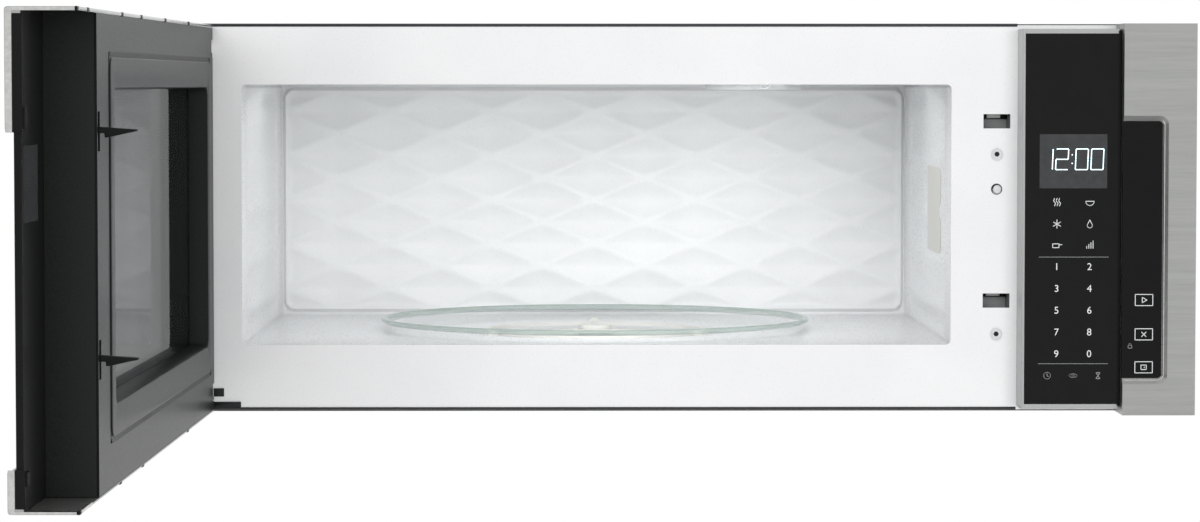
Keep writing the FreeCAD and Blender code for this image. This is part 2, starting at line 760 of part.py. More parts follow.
def make_cooling_fan():
    """Axial fan behind the magnetron: a plate with its motor, and the bladed rotor."""
    x = "place.fan_x"
    z = "place.fan_z"
    y0 = "place.front + 192"
    reach = "(place.fan_radius + 10)"
    plate = block("fan_plate", "place.compartment", x + " + %s + 8" % reach, y0, y0 + " + 1.2",
                  "%s - %s" % (z, reach), "%s + %s" % (z, reach))
    foot = block("fan_foot", "place.compartment", "place.compartment + 1.2", y0, y0 + " + 14",
                 "%s - %s" % (z, reach), "%s + %s" % (z, reach))
    mouth = rod("fan_mouth", "Y", (x, y0 + " - 1", z), "place.fan_radius + 3", "5")
    ring = cut("fan_shroud", plate, mouth)
    motor = block("fan_motor", x + " - 20", x + " + 20", y0 + " + 24", y0 + " + 46", z + " - 24", z + " + 24")
    arm = block("fan_arm", x + " - 6", x + " + 6", y0 + " + 26", y0 + " + 30",
                "%s - %s + 2" % (z, reach), "%s + %s - 2" % (z, reach))
    ends = ((" - %s + 1" % reach, " - %s + 4" % reach), (" + %s - 4" % reach, " + %s - 1" % reach))
    legs = [block("fan_leg", x + " - 6", x + " + 6", y0 + " + 0.6", y0 + " + 30", z + low, z + high)
            for low, high in ends]
    shaft = rod("fan_shaft", "Y", (x, y0 + " + 8", z), "2.5", "16")
    keep(join("fan_frame", [ring, foot, motor, arm, shaft] + legs), "cooling_fan_motor")

    hub = Part.makeCylinder(13, 14, V(0, 0, 0), V(0, 1, 0))
    bore = Part.makeCylinder(2.5 + size.bore_gap, 20, V(0, -2, 0), V(0, 1, 0))
    blades = []
    for number in range(5):
        blade = Part.makeBox(24, 1.4, place.fan_radius - 11, V(-12, -0.7, 10.5))
        blade.rotate(V(0, 6, 0), V(0, 0, 1), 32)
        blade.translate(V(0, 7, 0))
        blade.rotate(V(0, 0, 0), V(0, 1, 0), 72 * number)
        blades.append(blade)
    tip = Part.makeCylinder(place.fan_radius, 40, V(0, -13, 0), V(0, 1, 0))
    rotor = hub.fuse(Part.makeCompound(blades).common(tip).Solids).cut(bore)
    seat = V(place.fan_x, place.front + 200, place.fan_z)
    keep(solid_feature("fan_rotor", rotor, FreeCAD.Placement(seat, FreeCAD.Rotation())), "cooling_fan_blade")


# ---------------------------------------------------------------- ventilation


def scroll_outline(radius, growth, outlet):
    """A blower scroll in y and z: three quarter arcs that widen, then a straight outlet upwards."""

    def point(forward, up):
        return V(0, -forward, up)

    arcs = []
    forward, up, reach = 0.0, 0.0, radius
    heading = [(0, 1), (1, 0), (0, -1), (-1, 0)]
    for (out_f, out_u), (on_f, on_u) in zip(heading, heading[1:]):
        slant = reach / math.sqrt(2)
        arcs.append(Part.Arc(point(forward + out_f * reach, up + out_u * reach),
                             point(forward + (out_f + on_f) * slant, up + (out_u + on_u) * slant),
                             point(forward + on_f * reach, up + on_u * reach)).toShape())
        finish = point(forward + on_f * reach, up + on_u * reach)
        forward -= on_f * growth
        up -= on_u * growth
        reach += growth
    mouth = V(0, finish.y, outlet)
    tongue = V(0, 0, outlet)
    arcs += [Part.makeLine(finish, mouth), Part.makeLine(mouth, tongue),
             Part.makeLine(tongue, V(0, 0, radius))]
    return Part.Wire(arcs)


def scroll_solid(radius, growth, outlet, thick):
    return Part.Face(scroll_outline(radius, growth, outlet)).extrude(V(thick, 0, 0))


def blower_places():
    """The blower's axis and the x of each half, from the compartment's sides."""
    axis_y = place.panel_rear - size.case_gauge - 2.5 - (size.wheel_radius + 20)
    axis_z = place.base + size.case_gauge + 78
    left = place.compartment + 5
    right = place.right - size.case_gauge - 5
    return axis_y, axis_z, left, right


def make_blower_housing():
    """Two sheet scrolls, open at their eyes and outlets, on a cradle for the motor."""
    axis_y, axis_z, left, right = blower_places()
    outlet = place.cavity_ceiling + 6 - axis_z
    width = place.wheel_width + 8
    room = size.wheel_radius + 4
    halves = []
    for start in (left, right - width):
        outer = scroll_solid(room + 1, 5, outlet, width)
        inner = scroll_solid(room, 5, outlet + 1, width - 2).translated(V(1, 0, 0))
        eye = Part.makeCylinder(size.wheel_radius * 0.72, width + 4, V(-2, 0, 0), V(1, 0, 0))
        half = outer.cut(Part.makeCompound([inner])).cut(eye)
        halves.append(half.translated(V(start, axis_y, axis_z)))
    cradle = span_box(left + 1, right - 1, axis_y - 24, axis_y + 24, axis_z - 66, axis_z - 64)
    post = span_box(left + width + 8, right - width - 8, axis_y - 14, axis_y + 14, axis_z - 64, axis_z - 30.5)
    legs = [span_box(x, x + 3, axis_y - 24, axis_y + 24, axis_z - 64, axis_z - 52)
            for x in (left + width - 3, right - width)]
    tie = span_box(left, right, axis_y + room + 15, place.panel_rear - size.case_gauge,
                   axis_z + 20, axis_z + 60)
    housing = halves[0].fuse([halves[1], cradle, post, tie] + legs)
    keep(solid_feature("blower_shell", housing), "blower_housing")


def make_blower_motor():
    """Motor between the scrolls, with a bore for the through shaft."""
    axis_y, axis_z, left, right = blower_places()
    width = place.wheel_width + 8
    start = left + width + 6
    length = right - width - 6 - start
    can = Part.makeCylinder(30, length, V(start, axis_y, axis_z), V(1, 0, 0))
    band = Part.makeCylinder(31.5, length * 0.4, V(start + length * 0.3, axis_y, axis_z), V(1, 0, 0))
    bore = Part.makeCylinder(size.shaft_radius + size.bore_gap, length + 2,
                             V(start - 1, axis_y, axis_z), V(1, 0, 0))
    flat = span_box(start - 1, start + length + 1, axis_y - 40, axis_y + 40, axis_z - 40, axis_z - 30.5)
    keep(solid_feature("motor_can", can.fuse(band).cut(Part.makeCompound([bore, flat]))), "vent_blower_motor")


def make_blower_wheels():
    """Two squirrel cage wheels on one shaft."""
    axis_y, axis_z, left, right = blower_places()
    width = place.wheel_width
    radius = size.wheel_radius
    count = int(size.blade_count)
    parts = [Part.makeCylinder(size.shaft_radius, right - left - 6, V(left + 3, 0, 0), V(1, 0, 0))]
    for start, plate_at in ((left + 4, left + 4 + width - 1.2), (right - 4 - width, right - 4 - width)):
        plate = Part.makeCylinder(radius, 1.2, V(plate_at, 0, 0), V(1, 0, 0))
        hub_at = plate_at - (6.8 if plate_at > start else 0)
        parts += [plate, Part.makeCylinder(9, 8, V(hub_at, 0, 0), V(1, 0, 0))]
        rim = Part.makeCylinder(radius, 2.5, V(0, 0, 0), V(1, 0, 0))
        rim = rim.cut(Part.makeCylinder(radius - 8, 4, V(-1, 0, 0), V(1, 0, 0)))
        parts.append(rim.translated(V(start if plate_at > start else start + width - 2.5, 0, 0)))
        for number in range(count):
            blade = Part.makeBox(width, 1.2, 7.4, V(start, -0.6, radius - 7.7))
            blade.rotate(V(0, 0, radius - 4), V(1, 0, 0), 28)
            blade.rotate(V(0, 0, 0), V(1, 0, 0), 360.0 * number / count)
            parts.append(blade)
    wheels = parts[0].fuse(parts[1:])
    seat = FreeCAD.Placement(V(0, axis_y, axis_z), FreeCAD.Rotation())
    keep(solid_feature("wheel_pair", wheels, seat), "blower_wheels")


def make_exhaust():
    """Flat duct over the oven, the collar on top and its flap."""
    low = "place.cavity_ceiling + 6"
    y0 = "place.duct_y - size.duct_depth / 2"
    y1 = "place.duct_y + size.duct_depth / 2"
    high = "place.top - size.case_gauge - 0.2"
    outer = block("duct_outer", "-size.duct_width / 2 - 1", "place.right - size.case_gauge - 4", y0 + " - 1",
                  y1 + " + 1", low, high)
    inner = block("duct_inner", "-size.duct_width / 2", "place.right - size.case_gauge - 5", y0, y1,
                  low + " + 1", high + " + 1")
    # the sheet stays closed on top between the collar and the blower
    lid = block("duct_lid", "size.duct_width / 2", "place.right - size.case_gauge - 5", y0, y1,
                high + " - 1", high)
    intake = block("duct_intake", "place.compartment + 6", "place.right - size.case_gauge - 6", y0 + " + 6",
                   y1 + " - 6", low + " - 1", low + " + 2")
    shell = cut("duct_hollow", outer, inner)
    keep(cut("duct", join("duct_closed", [shell, lid]), intake), "exhaust_duct")

    make_damper(y0, y1)


def make_damper(y0, y1):
    """Rectangular collar sunk into the roof's opening, with a flap that the draught lifts."""
    top = "place.top"
    half = "(size.duct_width / 2 - size.running_gap)"
    front = y0 + " + size.running_gap"
    rear = y1 + " - size.running_gap"
    pin_y = y0 + " + size.flap_inset"
    pin_z = top + " - size.flap_drop"
    wall = block("collar_wall", "-" + half, half, front, rear, top + " - size.collar_depth",
                 top + " + size.collar_height")
    reach = "(size.duct_width / 2 + size.collar_brim)"
    brim = block("collar_brim", "-" + reach, reach, y0 + " - 9", y1 + " + 9", top, top + " + 1")
    hole = block("collar_hole", "-%s + size.collar_wall" % half, half + " - size.collar_wall",
                 front + " + size.collar_wall", rear + " - size.collar_wall", top + " - size.collar_depth - 1",
                 top + " + size.collar_height + 1")
    pin_hole = rod("collar_pin_hole", "X", ("-size.duct_width", pin_y, pin_z), "size.flap_pin + size.bore_gap",
                   "2 * size.duct_width")
    stop = block("collar_stop", "-%s + 1" % half, half + " - 1", y1 + " - 5", y1 + " - 1",
                 pin_z + " - 2.4", pin_z + " - 1")
    collar = cut("collar_open", cut("collar_hollow", join("collar_body", [wall, brim]), hole), pin_hole)
    keep(join("collar", [collar, stop]), "damper_collar")
    flap = block("flap_sheet", "-size.duct_width / 2 + 3", "size.duct_width / 2 - 3", pin_y, y1 + " - 2.5",
                 pin_z + " - 0.7", pin_z + " + 0.3")
    pin = rod("flap_pin", "X", ("-size.duct_width / 2 + 0.7", pin_y, pin_z), "size.flap_pin",
              "size.duct_width - 1.4")
    keep(join("flap", [flap, pin]), "damper_flap")


def make_grease_filters():
    """Two framed aluminium mesh filters lying on the base's ledges."""
    for side, word in (("-1", "left"), ("1", "right")):
        middle = side + " * size.filter_offset"
        x0 = middle + " - size.filter_width / 2"
        x1 = middle + " + size.filter_width / 2"
        frame = block("filter_frame", x0, x1, "place.filter_front", "place.filter_rear",
                      "place.filter_floor", "place.filter_roof")
        room = block("filter_room", x0 + " + 9", x1 + " - 9",
                     "place.filter_front + 9", "place.filter_rear - 9",
                     "place.filter_floor - 1", "place.filter_roof + 1")
        mesh = block("filter_mesh", x0 + " + 8", x1 + " - 8",
                     "place.filter_front + 8", "place.filter_rear - 8",
                     "place.filter_floor + 2", "place.filter_floor + 3.6")
        tab = rod("filter_tab", "Z", (middle, "place.filter_front + 18", "place.filter_floor + 0.4"),
                  "7", "2.4")
        keep(join("filter_" + word, [cut("filter_ring", frame, room), mesh, tab]), "grease_filter_" + word)


def make_cooktop_lamps():
    """Two lamp bulbs and their glass covers, which face down to the cooktop."""
    bulbs = []
    covers = []
    for side in ("-1", "1"):
        x = side + " * place.lamp_x"
        y = "place.front + size.lamp_setback"
        floor = "place.base + size.case_gauge"
        bulbs.append(rod("work_bulb", "Z", (x, y, floor + " + 4"), "12", "14"))
        bulbs.append(rod("work_socket", "Z", (x, y, floor + " + 17"), "9", "14"))
        bulbs.append(block("work_arm", x + " - 10", x + " + 10", y + " - 10", y + " + 31.2",
                           floor + " + 30.5", floor + " + 31.7"))
        bulbs.append(block("work_post", x + " - 10", x + " + 10", y + " + 30", y + " + 31.2",
                           floor, floor + " + 31.7"))
        covers.append(block("work_cover", x + " - 38", x + " + 38", y + " - 28", y + " + 28",
                            floor, floor + " + 3"))
        covers.append(block("work_cover_step", x + " - 33.5", x + " + 33.5", y + " - 23.5", y + " + 23.5",
                            floor + " - size.case_gauge", floor + " + 1"))
    left = join("work_lamp_left", bulbs[:4])
    right = join("work_lamp_right", bulbs[4:])
    keep(group("work_lamps", [left, right]), "cooktop_lamps")
    left = join("work_cover_left", covers[:2])
    right = join("work_cover_right", covers[2:])
    keep(group("work_covers", [left, right]), "cooktop_lamp_covers")


# ---------------------------------------------------------------- turntable


def make_turntable():
    """Glass tray, its drive and the roller ring that carries it."""
    under = "place.glass_under"
    body = turned_body("tray", [
        ("0", under),
        ("size.glass_radius - 16", under),
        ("size.glass_radius", under + " + size.glass_rim"),
        ("size.glass_radius", under + " + size.glass_rim + size.glass_thick"),
        ("size.glass_radius - 3", under + " + size.glass_rim + size.glass_thick"),
        ("size.glass_radius - 17", under + " + size.glass_thick"),
        ("0", under + " + size.glass_thick"),
    ])
    body.setExpression("Placement.Base.x", "place.cavity_mid")
    body.setExpression("Placement.Base.y", "place.turn_y")
    keep(body, "turntable_glass")

    hub = turned_body("coupler", [
        ("0", "place.well_floor - size.cavity_gauge - 8"),
        ("size.shaft_radius", "place.well_floor - size.cavity_gauge - 8"),
        ("size.shaft_radius", "place.well_floor + 0.6"),
        ("size.coupler_radius", "place.well_floor + 0.6"),
        ("size.coupler_radius", under),
        ("0", under),
    ])
    hub.setExpression("Placement.Base.x", "place.cavity_mid")
    hub.setExpression("Placement.Base.y", "place.turn_y")
    keep(hub, "drive_coupler")

    below = "place.well_floor - size.cavity_gauge"
    can = rod("tray_motor_can", "Z", ("place.cavity_mid", "place.turn_y", below + " - 20"), "25", "19.7")
    ears = block("tray_motor_ears", "place.cavity_mid - 36", "place.cavity_mid + 36", "place.turn_y - 7",
                 "place.turn_y + 7", below + " - 3", below)
    bore = rod("tray_motor_bore", "Z", ("place.cavity_mid", "place.turn_y", below + " - 9"),
               "size.shaft_radius + size.bore_gap", "12")
    keep(cut("tray_motor", join("tray_motor_body", [can, ears]), bore), "turntable_motor")


def make_roller_ring():
    """Spoked ring with three axle pins, and its three wheels."""
    level = place.well_floor + size.running_gap + size.roller_radius
    inner = size.coupler_radius + 1.5
    track = size.roller_track
    low = V(0, 0, level - 1.4)
    hub = Part.makeCylinder(inner + 4, 2.8, low).cut(Part.makeCylinder(inner, 4, low - V(0, 0, 0.5)))
    rim_out = track - size.roller_width / 2 - 3
    rim = Part.makeCylinder(rim_out, 2.8, low).cut(Part.makeCylinder(rim_out - 5, 4, low - V(0, 0, 0.5)))
    pieces = [rim]
    for number in range(3):
        spoke = Part.makeBox(rim_out - inner - 4, 6, 2.8, V(inner + 2, -3, level - 1.4))
        pin = Part.makeCylinder(size.axle_radius, size.roller_width + 7, V(rim_out - 2, 0, level), V(1, 0, 0))
        cap = Part.makeCylinder(size.axle_radius + 0.8, 1.2,
                                V(track + size.roller_width / 2 + 0.4, 0, level), V(1, 0, 0))
        for piece in (spoke, pin, cap):
            piece.rotate(V(), V(0, 0, 1), 90 + 120 * number)
            pieces.append(piece)
    ring = hub.fuse(pieces)
    seat = V(place.cavity_mid, place.turn_y, 0)
    keep(solid_feature("ring", ring, FreeCAD.Placement(seat, FreeCAD.Rotation())), "roller_ring")
    for number, word in enumerate(("rear", "left", "right")):
        wheel = Part.makeCylinder(size.roller_radius, size.roller_width,
                                  V(track - size.roller_width / 2, 0, level), V(1, 0, 0))
        bore = Part.makeCylinder(size.axle_radius + size.bore_gap, 30, V(track - 15, 0, level), V(1, 0, 0))
        turn = FreeCAD.Rotation(V(0, 0, 1), 90 + 120 * number)
        keep(solid_feature("roller", wheel.cut(bore), FreeCAD.Placement(seat, turn)), "roller_" + word)


# ---------------------------------------------------------------- control block and end trim


def make_control_block():
    """Silver housing with its black glass, display and circuit board."""
    body = new_body("control_body")
    low = "place.base + size.control_margin"
    high = "place.top - size.control_margin"
    outline = new_sketch(body, "XZ", "-place.front", "control_outline")
    add_outline(outline, rectangle("place.control_left", "place.control_right", low, high))
    pad(body, outline, "size.control_forward", "control_pad")

    def front_left(edge):
        middle = edge.CenterOfMass
        return (edge_runs_along(edge, V(0, 0, 1)) and abs(middle.x - place.control_left) < 0.1
                and abs(middle.y - place.control_front) < 0.1)

    round_edges(body, front_left, "size.control_face_inset - 0.2", "control_round")
    face = new_sketch(body, "XZ", "-place.control_front", "control_face")
    add_outline(face, rectangle("place.control_left + size.control_face_inset", "place.control_right - 0.6",
                                low + " + 3.5", high + " - 3.5"))
    pocket_deep(body, face, "size.control_pane", "control_seat")
    hollow = new_sketch(body, "XZ", "-place.front", "control_hollow")
    add_outline(hollow, rectangle("place.control_left + 2", "place.control_right - 2",
                                  low + " + 2", high + " - 2"))
    pocket_deep(body, hollow, "size.control_forward - size.control_pane - 2", "control_room", True)
    window = new_sketch(body, "XZ", "-place.front", "control_window")
    add_outline(window, rectangle("place.display_left", "place.display_left + size.display_width",
                                  "place.display_low", "place.display_low + size.display_height"))
    pocket_through(body, window, "control_window_cut")
    keep(body, "control_housing")

    pane_y = "place.control_front + size.control_pane"
    pane = block("control_pane", "place.control_left + size.control_face_inset", "place.control_right - 0.6",
                 "place.control_front", pane_y, low + " + 3.5", high + " - 3.5")
    keep(pane, "control_glass")
    screen = block("display_screen", "place.display_left + 0.4",
                   "place.display_left + size.display_width - 0.4",
                   pane_y, pane_y + " + 5", "place.display_low + 0.4",
                   "place.display_low + size.display_height - 0.4")
    case = block("display_case", "place.display_left + 3", "place.display_left + size.display_width - 3",
                 pane_y + " + 4", pane_y + " + 12", "place.display_low - 2",
                 "place.display_low + size.display_height + 2")
    keep(join("display", [screen, case]), "display_module")
    board_y = pane_y + " + 12"
    board = block("board_sheet", "place.control_left + 5", "place.control_right - 5",
                  board_y, board_y + " + 1.6", low + " + 6", high + " - 6")
    parts = [block("board_relay", "place.control_left + %d" % x, "place.control_left + %d" % (x + 16),
                   board_y + " + 1", board_y + " + 13", low + " + %d" % z, low + " + %d" % (z + 22))
             for x, z in ((10, 20), (34, 20), (10, 60))]
    parts.append(block("board_coil", "place.control_left + 34", "place.control_left + 62", board_y + " + 1",
                       board_y + " + 15", low + " + 54", low + " + 88"))
    parts += [block("board_post", "place.control_left + %d" % x, "place.control_left + %d" % (x + 5),
                    "place.control_front + size.control_pane + 2", board_y + " + 0.5",
                    low + " + %d" % z, low + " + %d" % (z + 5))
              for x, z in ((8, 10), (58, 10), (8, 240), (58, 240))]
    keep(join("board", [board] + parts), "control_board")


def make_end_trim():
    """Brushed end piece: flush with the closed door, notched for the touch strip."""
    body = new_body("trim_body")
    depth = "size.door_gap + size.door_thick"
    outline = new_sketch(body, "XZ", "-place.front", "trim_outline")
    add_outline(outline, rectangle("place.trim_left", "place.right", "place.base", "place.top"))
    pad(body, outline, depth, "trim_pad")

    def outer_front(edge):
        middle = edge.CenterOfMass
        return abs(middle.y - place.trim_front) < 0.1 and (
            abs(middle.x - place.right) < 0.1 or abs(middle.z - place.top) < 0.1)

    round_edges(body, outer_front, "3", "trim_round")
    hollow = new_sketch(body, "XZ", "-place.front", "trim_hollow")
    add_outline(hollow, rectangle("place.trim_left + 1.5", "place.right - 1.5",
                                  "place.base + 1.5", "place.top - 1.5"))
    pocket_deep(body, hollow, depth + " - size.glass_recess - size.pane_thick - 2", "trim_room", True)
    inner = "place.trim_left + size.notch_width - size.notch_bevel"
    notch = new_sketch(body, "XZ", "-place.trim_front", "trim_notch")
    add_outline(notch, rectangle("place.trim_left - 1", inner,
                                 "place.base + size.notch_low + size.notch_bevel",
                                 "place.base + size.notch_high - size.notch_bevel"))
    pocket_deep(body, notch, "size.glass_recess + size.pane_thick", "trim_notch_cut")

    def notch_corner(edge):
        middle = edge.CenterOfMass
        inside = place.trim_left + size.notch_width - size.notch_bevel
        deepest = size.glass_recess + size.pane_thick + 0.1
        return edge_runs_along(edge, V(0, 1, 0)) and abs(middle.x - inside) < 0.1 and edge.Length < deepest

    round_edges(body, notch_corner, "size.notch_corner - size.notch_bevel", "trim_notch_corners")
    doc.recompute()

    def notch_rim(edge):
        middle = edge.CenterOfMass
        box = edge.BoundBox
        flat = box.YMax - box.YMin < 0.01 and abs(middle.y - place.trim_front) < 0.1
        low = place.base + size.notch_low + size.notch_bevel - 0.1
        high = place.base + size.notch_high - size.notch_bevel + 0.1
        return (flat and low < middle.z < high and place.trim_left + 0.1 < middle.x
                and middle.x < place.trim_left + size.notch_width)

    tip = body.Tip
    rim = ["Edge%d" % (i + 1) for i, edge in enumerate(tip.Shape.Edges) if notch_rim(edge)]
    bevel = body.newObject("PartDesign::Chamfer", "trim_bevel")
    bevel.Base = (tip, rim)
    bevel.setExpression("Size", "size.notch_bevel")
    body.Tip = bevel
    keep(body, "end_trim")

    pane_y = "place.trim_front + size.glass_recess"
    pane = block("strip_pane", "place.trim_left", inner, pane_y, pane_y + " + size.pane_thick",
                 "place.base + size.notch_low + size.notch_bevel",
                 "place.base + size.notch_high - size.notch_bevel")

    keep(round_part(pane, "strip_round", inner_corner_edges, size.notch_corner - size.notch_bevel),
         "touch_strip_glass")


def inner_corner_edges(shape):
    """Edges through the plate at its right hand corners."""
    far = shape.BoundBox.XMax
    return [i + 1 for i, edge in enumerate(shape.Edges)
            if edge_runs_along(edge, V(0, 1, 0)) and abs(edge.CenterOfMass.x - far) < 0.01]


def round_part(base, name, chosen, radius):
    """Round chosen edges of a primitive."""
    doc.recompute()
    item = doc.addObject("Part::Fillet", name)
    item.Base = base
    item.Edges = [(number, radius, radius) for number in chosen(base.Shape)]
    return item


# ---------------------------------------------------------------- latch and hinge, cabinet side


def make_latch_board():
    """Moulded block behind the frame that takes the hooks, its switches and screws."""
    back = "place.front + size.frame_gauge"
    body = block("latch_block", "place.latch_x - 13", "place.latch_x + 13", back, back + " + 36",
                 "place.base + 48", "place.base + 250")
    pockets = []
    for level in ("size.slot_upper", "size.slot_lower"):
        middle = "place.base + " + level
        pockets.append(block("latch_pocket", "place.latch_x - size.slot_width / 2",
                             "place.latch_x + size.slot_width / 2", back + " - 1", back + " + 33",
                             middle + " - size.slot_height / 2 - 3.5", middle + " + size.slot_height / 2 + 1"))
    stud = rod("latch_stud", "Y", ("place.latch_x", "place.front - 0.8", "place.base + size.stud_height"),
               "size.stud_radius", "size.frame_gauge + 2")
    holes = [rod("latch_screw_hole", "Y", ("place.latch_x", back + " - 1", "place.base + " + level),
                 "1.8", "14")
             for level in ("size.screw_upper", "size.screw_lower")]
    solid = cut("latch_open", body, group("latch_cuts", pockets + holes))
    keep(join("latch_join", [solid, stud]), "latch_board")
    screws = []
    for level in ("size.screw_upper", "size.screw_lower"):
        middle = "place.base + " + level
        head = rod("screw_head", "Y", ("place.latch_x", "place.front - 1.5", middle),
                   "size.screw_radius", "1.5")
        shank = rod("screw_shank", "Y", ("place.latch_x", "place.front - 0.5", middle), "1.8", "12")
        drive = block("screw_drive", "place.latch_x - 2.6", "place.latch_x + 2.6", "place.front - 2",
                      "place.front - 0.6", middle + " - 0.6", middle + " + 0.6")
        drive_two = block("screw_drive_two", "place.latch_x - 0.6", "place.latch_x + 0.6", "place.front - 2",
                          "place.front - 0.6", middle + " - 2.6", middle + " + 2.6")
        cross = group("screw_cross", [drive, drive_two])
        screws.append(cut("screw", join("screw_solid", [head, shank]), cross))
    keep(group("screws", screws), "frame_screws")
    switches = []
    for level in (212.0, 110.0, 92.0):
        case = block("switch_case", "place.latch_x + 13", "place.latch_x + 23.3",
                     back + " + 8", back + " + 36",
                     "place.base + %g" % level, "place.base + %g" % (level + 16))
        tabs = block("switch_tab", "place.latch_x + 16", "place.latch_x + 20", back + " + 35", back + " + 43",
                     "place.base + %g" % (level + 4), "place.base + %g" % (level + 12))
        switches.append(join("switch", [case, tabs]))
    keep(group("switches", switches), "interlock_switches")


def make_hinge_brackets():
    """Steel brackets behind the frame: a leaf through the frame and an upright pin."""
    for word, level in (("lower", "size.leaf_low"), ("upper", "place.leaf_high")):
        z0 = "place.base + " + level
        z1 = z0 + " + size.leaf_gauge"
        behind = "place.front + size.frame_gauge"
        leaf = block("leaf", "place.pivot_x - size.leaf_half", "place.pivot_x + size.leaf_half",
                     "place.pivot_y", behind + " + 1", z0, z1)
        nose = rod("leaf_nose", "Z", ("place.pivot_x", "place.pivot_y", z0),
                   "size.leaf_half", "size.leaf_gauge")
        plate = block("leaf_plate", "place.pivot_x - size.leaf_half",
                      "place.cavity_left - size.cavity_flange - 1",
                      behind, behind + " + 2", z0 + " - 6", z1 + " + 14")
        pin = rod("hinge_pin", "Z", ("place.pivot_x", "place.pivot_y", z0), "size.pin_radius",
                  "size.leaf_gauge + size.pin_rise")
        keep(join("bracket_" + word, [leaf, nose, plate, pin]), "hinge_bracket_" + word)


# ---------------------------------------------------------------- door


def leaf_notches(name, above="0.2"):
    """Room for both bracket leaves over the door's swing, and for what stands on them."""
    return [block(name, "place.door_left - 1", "size.leaf_half + 3",
                  "-size.leaf_half - 3", "place.door_inner + 1",
                  "place.base + %s - 0.6" % level, "place.base + %s + size.leaf_gauge + %s" % (level, above))
            for level in ("size.leaf_low", "place.leaf_high")]


def corner_relief(name):
    """The inner corner at the hinge is cut away so that it clears the frame as it turns."""
    return block(name, "place.door_left - 1", "-1", "1.5", "place.door_inner + 1",
                 "place.door_base - 1", "place.door_top + 1")


def make_door_skin():
    """Stainless pan with deep top and bottom flanges and a window open at the free edge."""
    gauge = "size.skin_gauge"
    outer = block("skin_outer", "place.door_left", "place.door_free", "place.door_front", "place.door_inner",
                  "place.door_base", "place.door_top")
    outer = round_part(outer, "skin_round", skin_front_edges, size.skin_round)
    inner = block("skin_inner", "place.door_left + " + gauge, "place.door_free + 1",
                  "place.door_front + " + gauge,
                  "place.door_inner + 1", "place.door_base + " + gauge, "place.door_top - " + gauge)
    x0 = "place.door_left + size.band_left"
    z0 = "place.door_base + size.band_bottom"
    z1 = "place.door_top - size.band_top"
    window = block("skin_window", x0, "place.door_free + 1", "place.door_front - 1",
                   "place.door_front + size.skin_gauge + 1", z0, z1)
    tools = group("skin_cuts", [inner, window, corner_relief("skin_relief")] + leaf_notches("skin_notch"))
    y0 = "place.door_front + size.skin_gauge / 2"
    lips = [
        block("lip_left", x0 + " - " + gauge, x0, y0, "place.pane_front",
              z0 + " - " + gauge, z1 + " + " + gauge),
        block("lip_low", x0 + " - " + gauge, "place.door_free", y0, "place.pane_front",
              z0 + " - " + gauge, z0),
        block("lip_high", x0 + " - " + gauge, "place.door_free", y0, "place.pane_front",
              z1, z1 + " + " + gauge),
        block("edge_low", "place.door_free - " + gauge, "place.door_free", y0, "place.thin_rear",
              "place.door_base + size.skin_gauge / 2", z0),
        block("edge_high", "place.door_free - " + gauge, "place.door_free", y0, "place.thin_rear",
              z1, "place.door_top - size.skin_gauge / 2"),
    ]
    pan = cut("skin_pan", outer, tools)
    keep(set_door_place(join("skin", [pan] + lips)), "door_skin")


def skin_front_edges(shape):
    """The pan's long front edges at the top and bottom, and its front edge at the hinge."""
    box = shape.BoundBox
    chosen = []
    for i, edge in enumerate(shape.Edges):
        middle = edge.CenterOfMass
        if abs(middle.y - box.YMin) < 0.01 and abs(middle.x - box.XMax) > 0.01:
            chosen.append(i + 1)
    return chosen


def make_door_glass():
    """Dark outer pane behind the skin's lips."""
    pane = block("outer_pane", "place.door_left + size.band_left - 6",
                 "place.door_free - size.skin_gauge - 0.2",
                 "place.pane_front", "place.pane_rear", "place.door_base + size.band_bottom - 6",
                 "place.door_top - size.band_top + 6")
    keep(set_door_place(group("outer_pane_set", [pane])), "door_glass")


def make_keypad_cover():
    """Thin backing over the control block, its corner blocks and the display's lens."""
    x0 = "place.core_end"
    x1 = "place.door_free - size.skin_gauge - 0.2"
    low_edge = "place.door_base + size.band_bottom - 6.2"
    high_edge = "place.door_top - size.band_top + 6.2"
    sheet = block("cover_plate", x0, x1, "place.pane_rear", "place.thin_rear",
                  "place.core_low", "place.core_high")
    fills = [
        block("cover_fill_low", x0, x1, "place.door_front + size.skin_gauge", "place.thin_rear",
              "place.core_low", low_edge),
        block("cover_fill_high", x0, x1, "place.door_front + size.skin_gauge", "place.thin_rear",
              high_edge, "place.core_high"),
    ]
    lens_x0 = "place.display_left - place.pivot_x - 1"
    lens_x1 = "place.display_left - place.pivot_x + size.display_width + 1"
    lens_z0 = "place.display_low - 2"
    lens_z1 = "place.display_low + size.display_height + 2"
    opening = block("cover_opening", lens_x0, lens_x1, "place.pane_rear - 1", "place.thin_rear + 1",
                    lens_z0, lens_z1)
    keep(set_door_place(cut("cover", join("cover_solid", [sheet] + fills), opening)), "keypad_cover")
    lens = block("lens_plate", lens_x0, lens_x1, "place.pane_rear", "place.thin_rear - 0.3", lens_z0, lens_z1)
    keep(set_door_place(group("lens_set", [lens])), "display_lens")
    blocks = [
        block("corner_high", x1 + " - 11", x1, "place.thin_rear", "place.thin_rear + 2.2",
              "place.door_top - size.band_top", "place.door_top - size.band_top + 12.8"),
        block("corner_low", x1 + " - 11", x1, "place.thin_rear", "place.thin_rear + 2.2",
              "place.door_base + size.band_bottom - 8", "place.door_base + size.band_bottom"),
    ]
    keep(set_door_place(group("corner_set", blocks)), "door_corner_blocks")


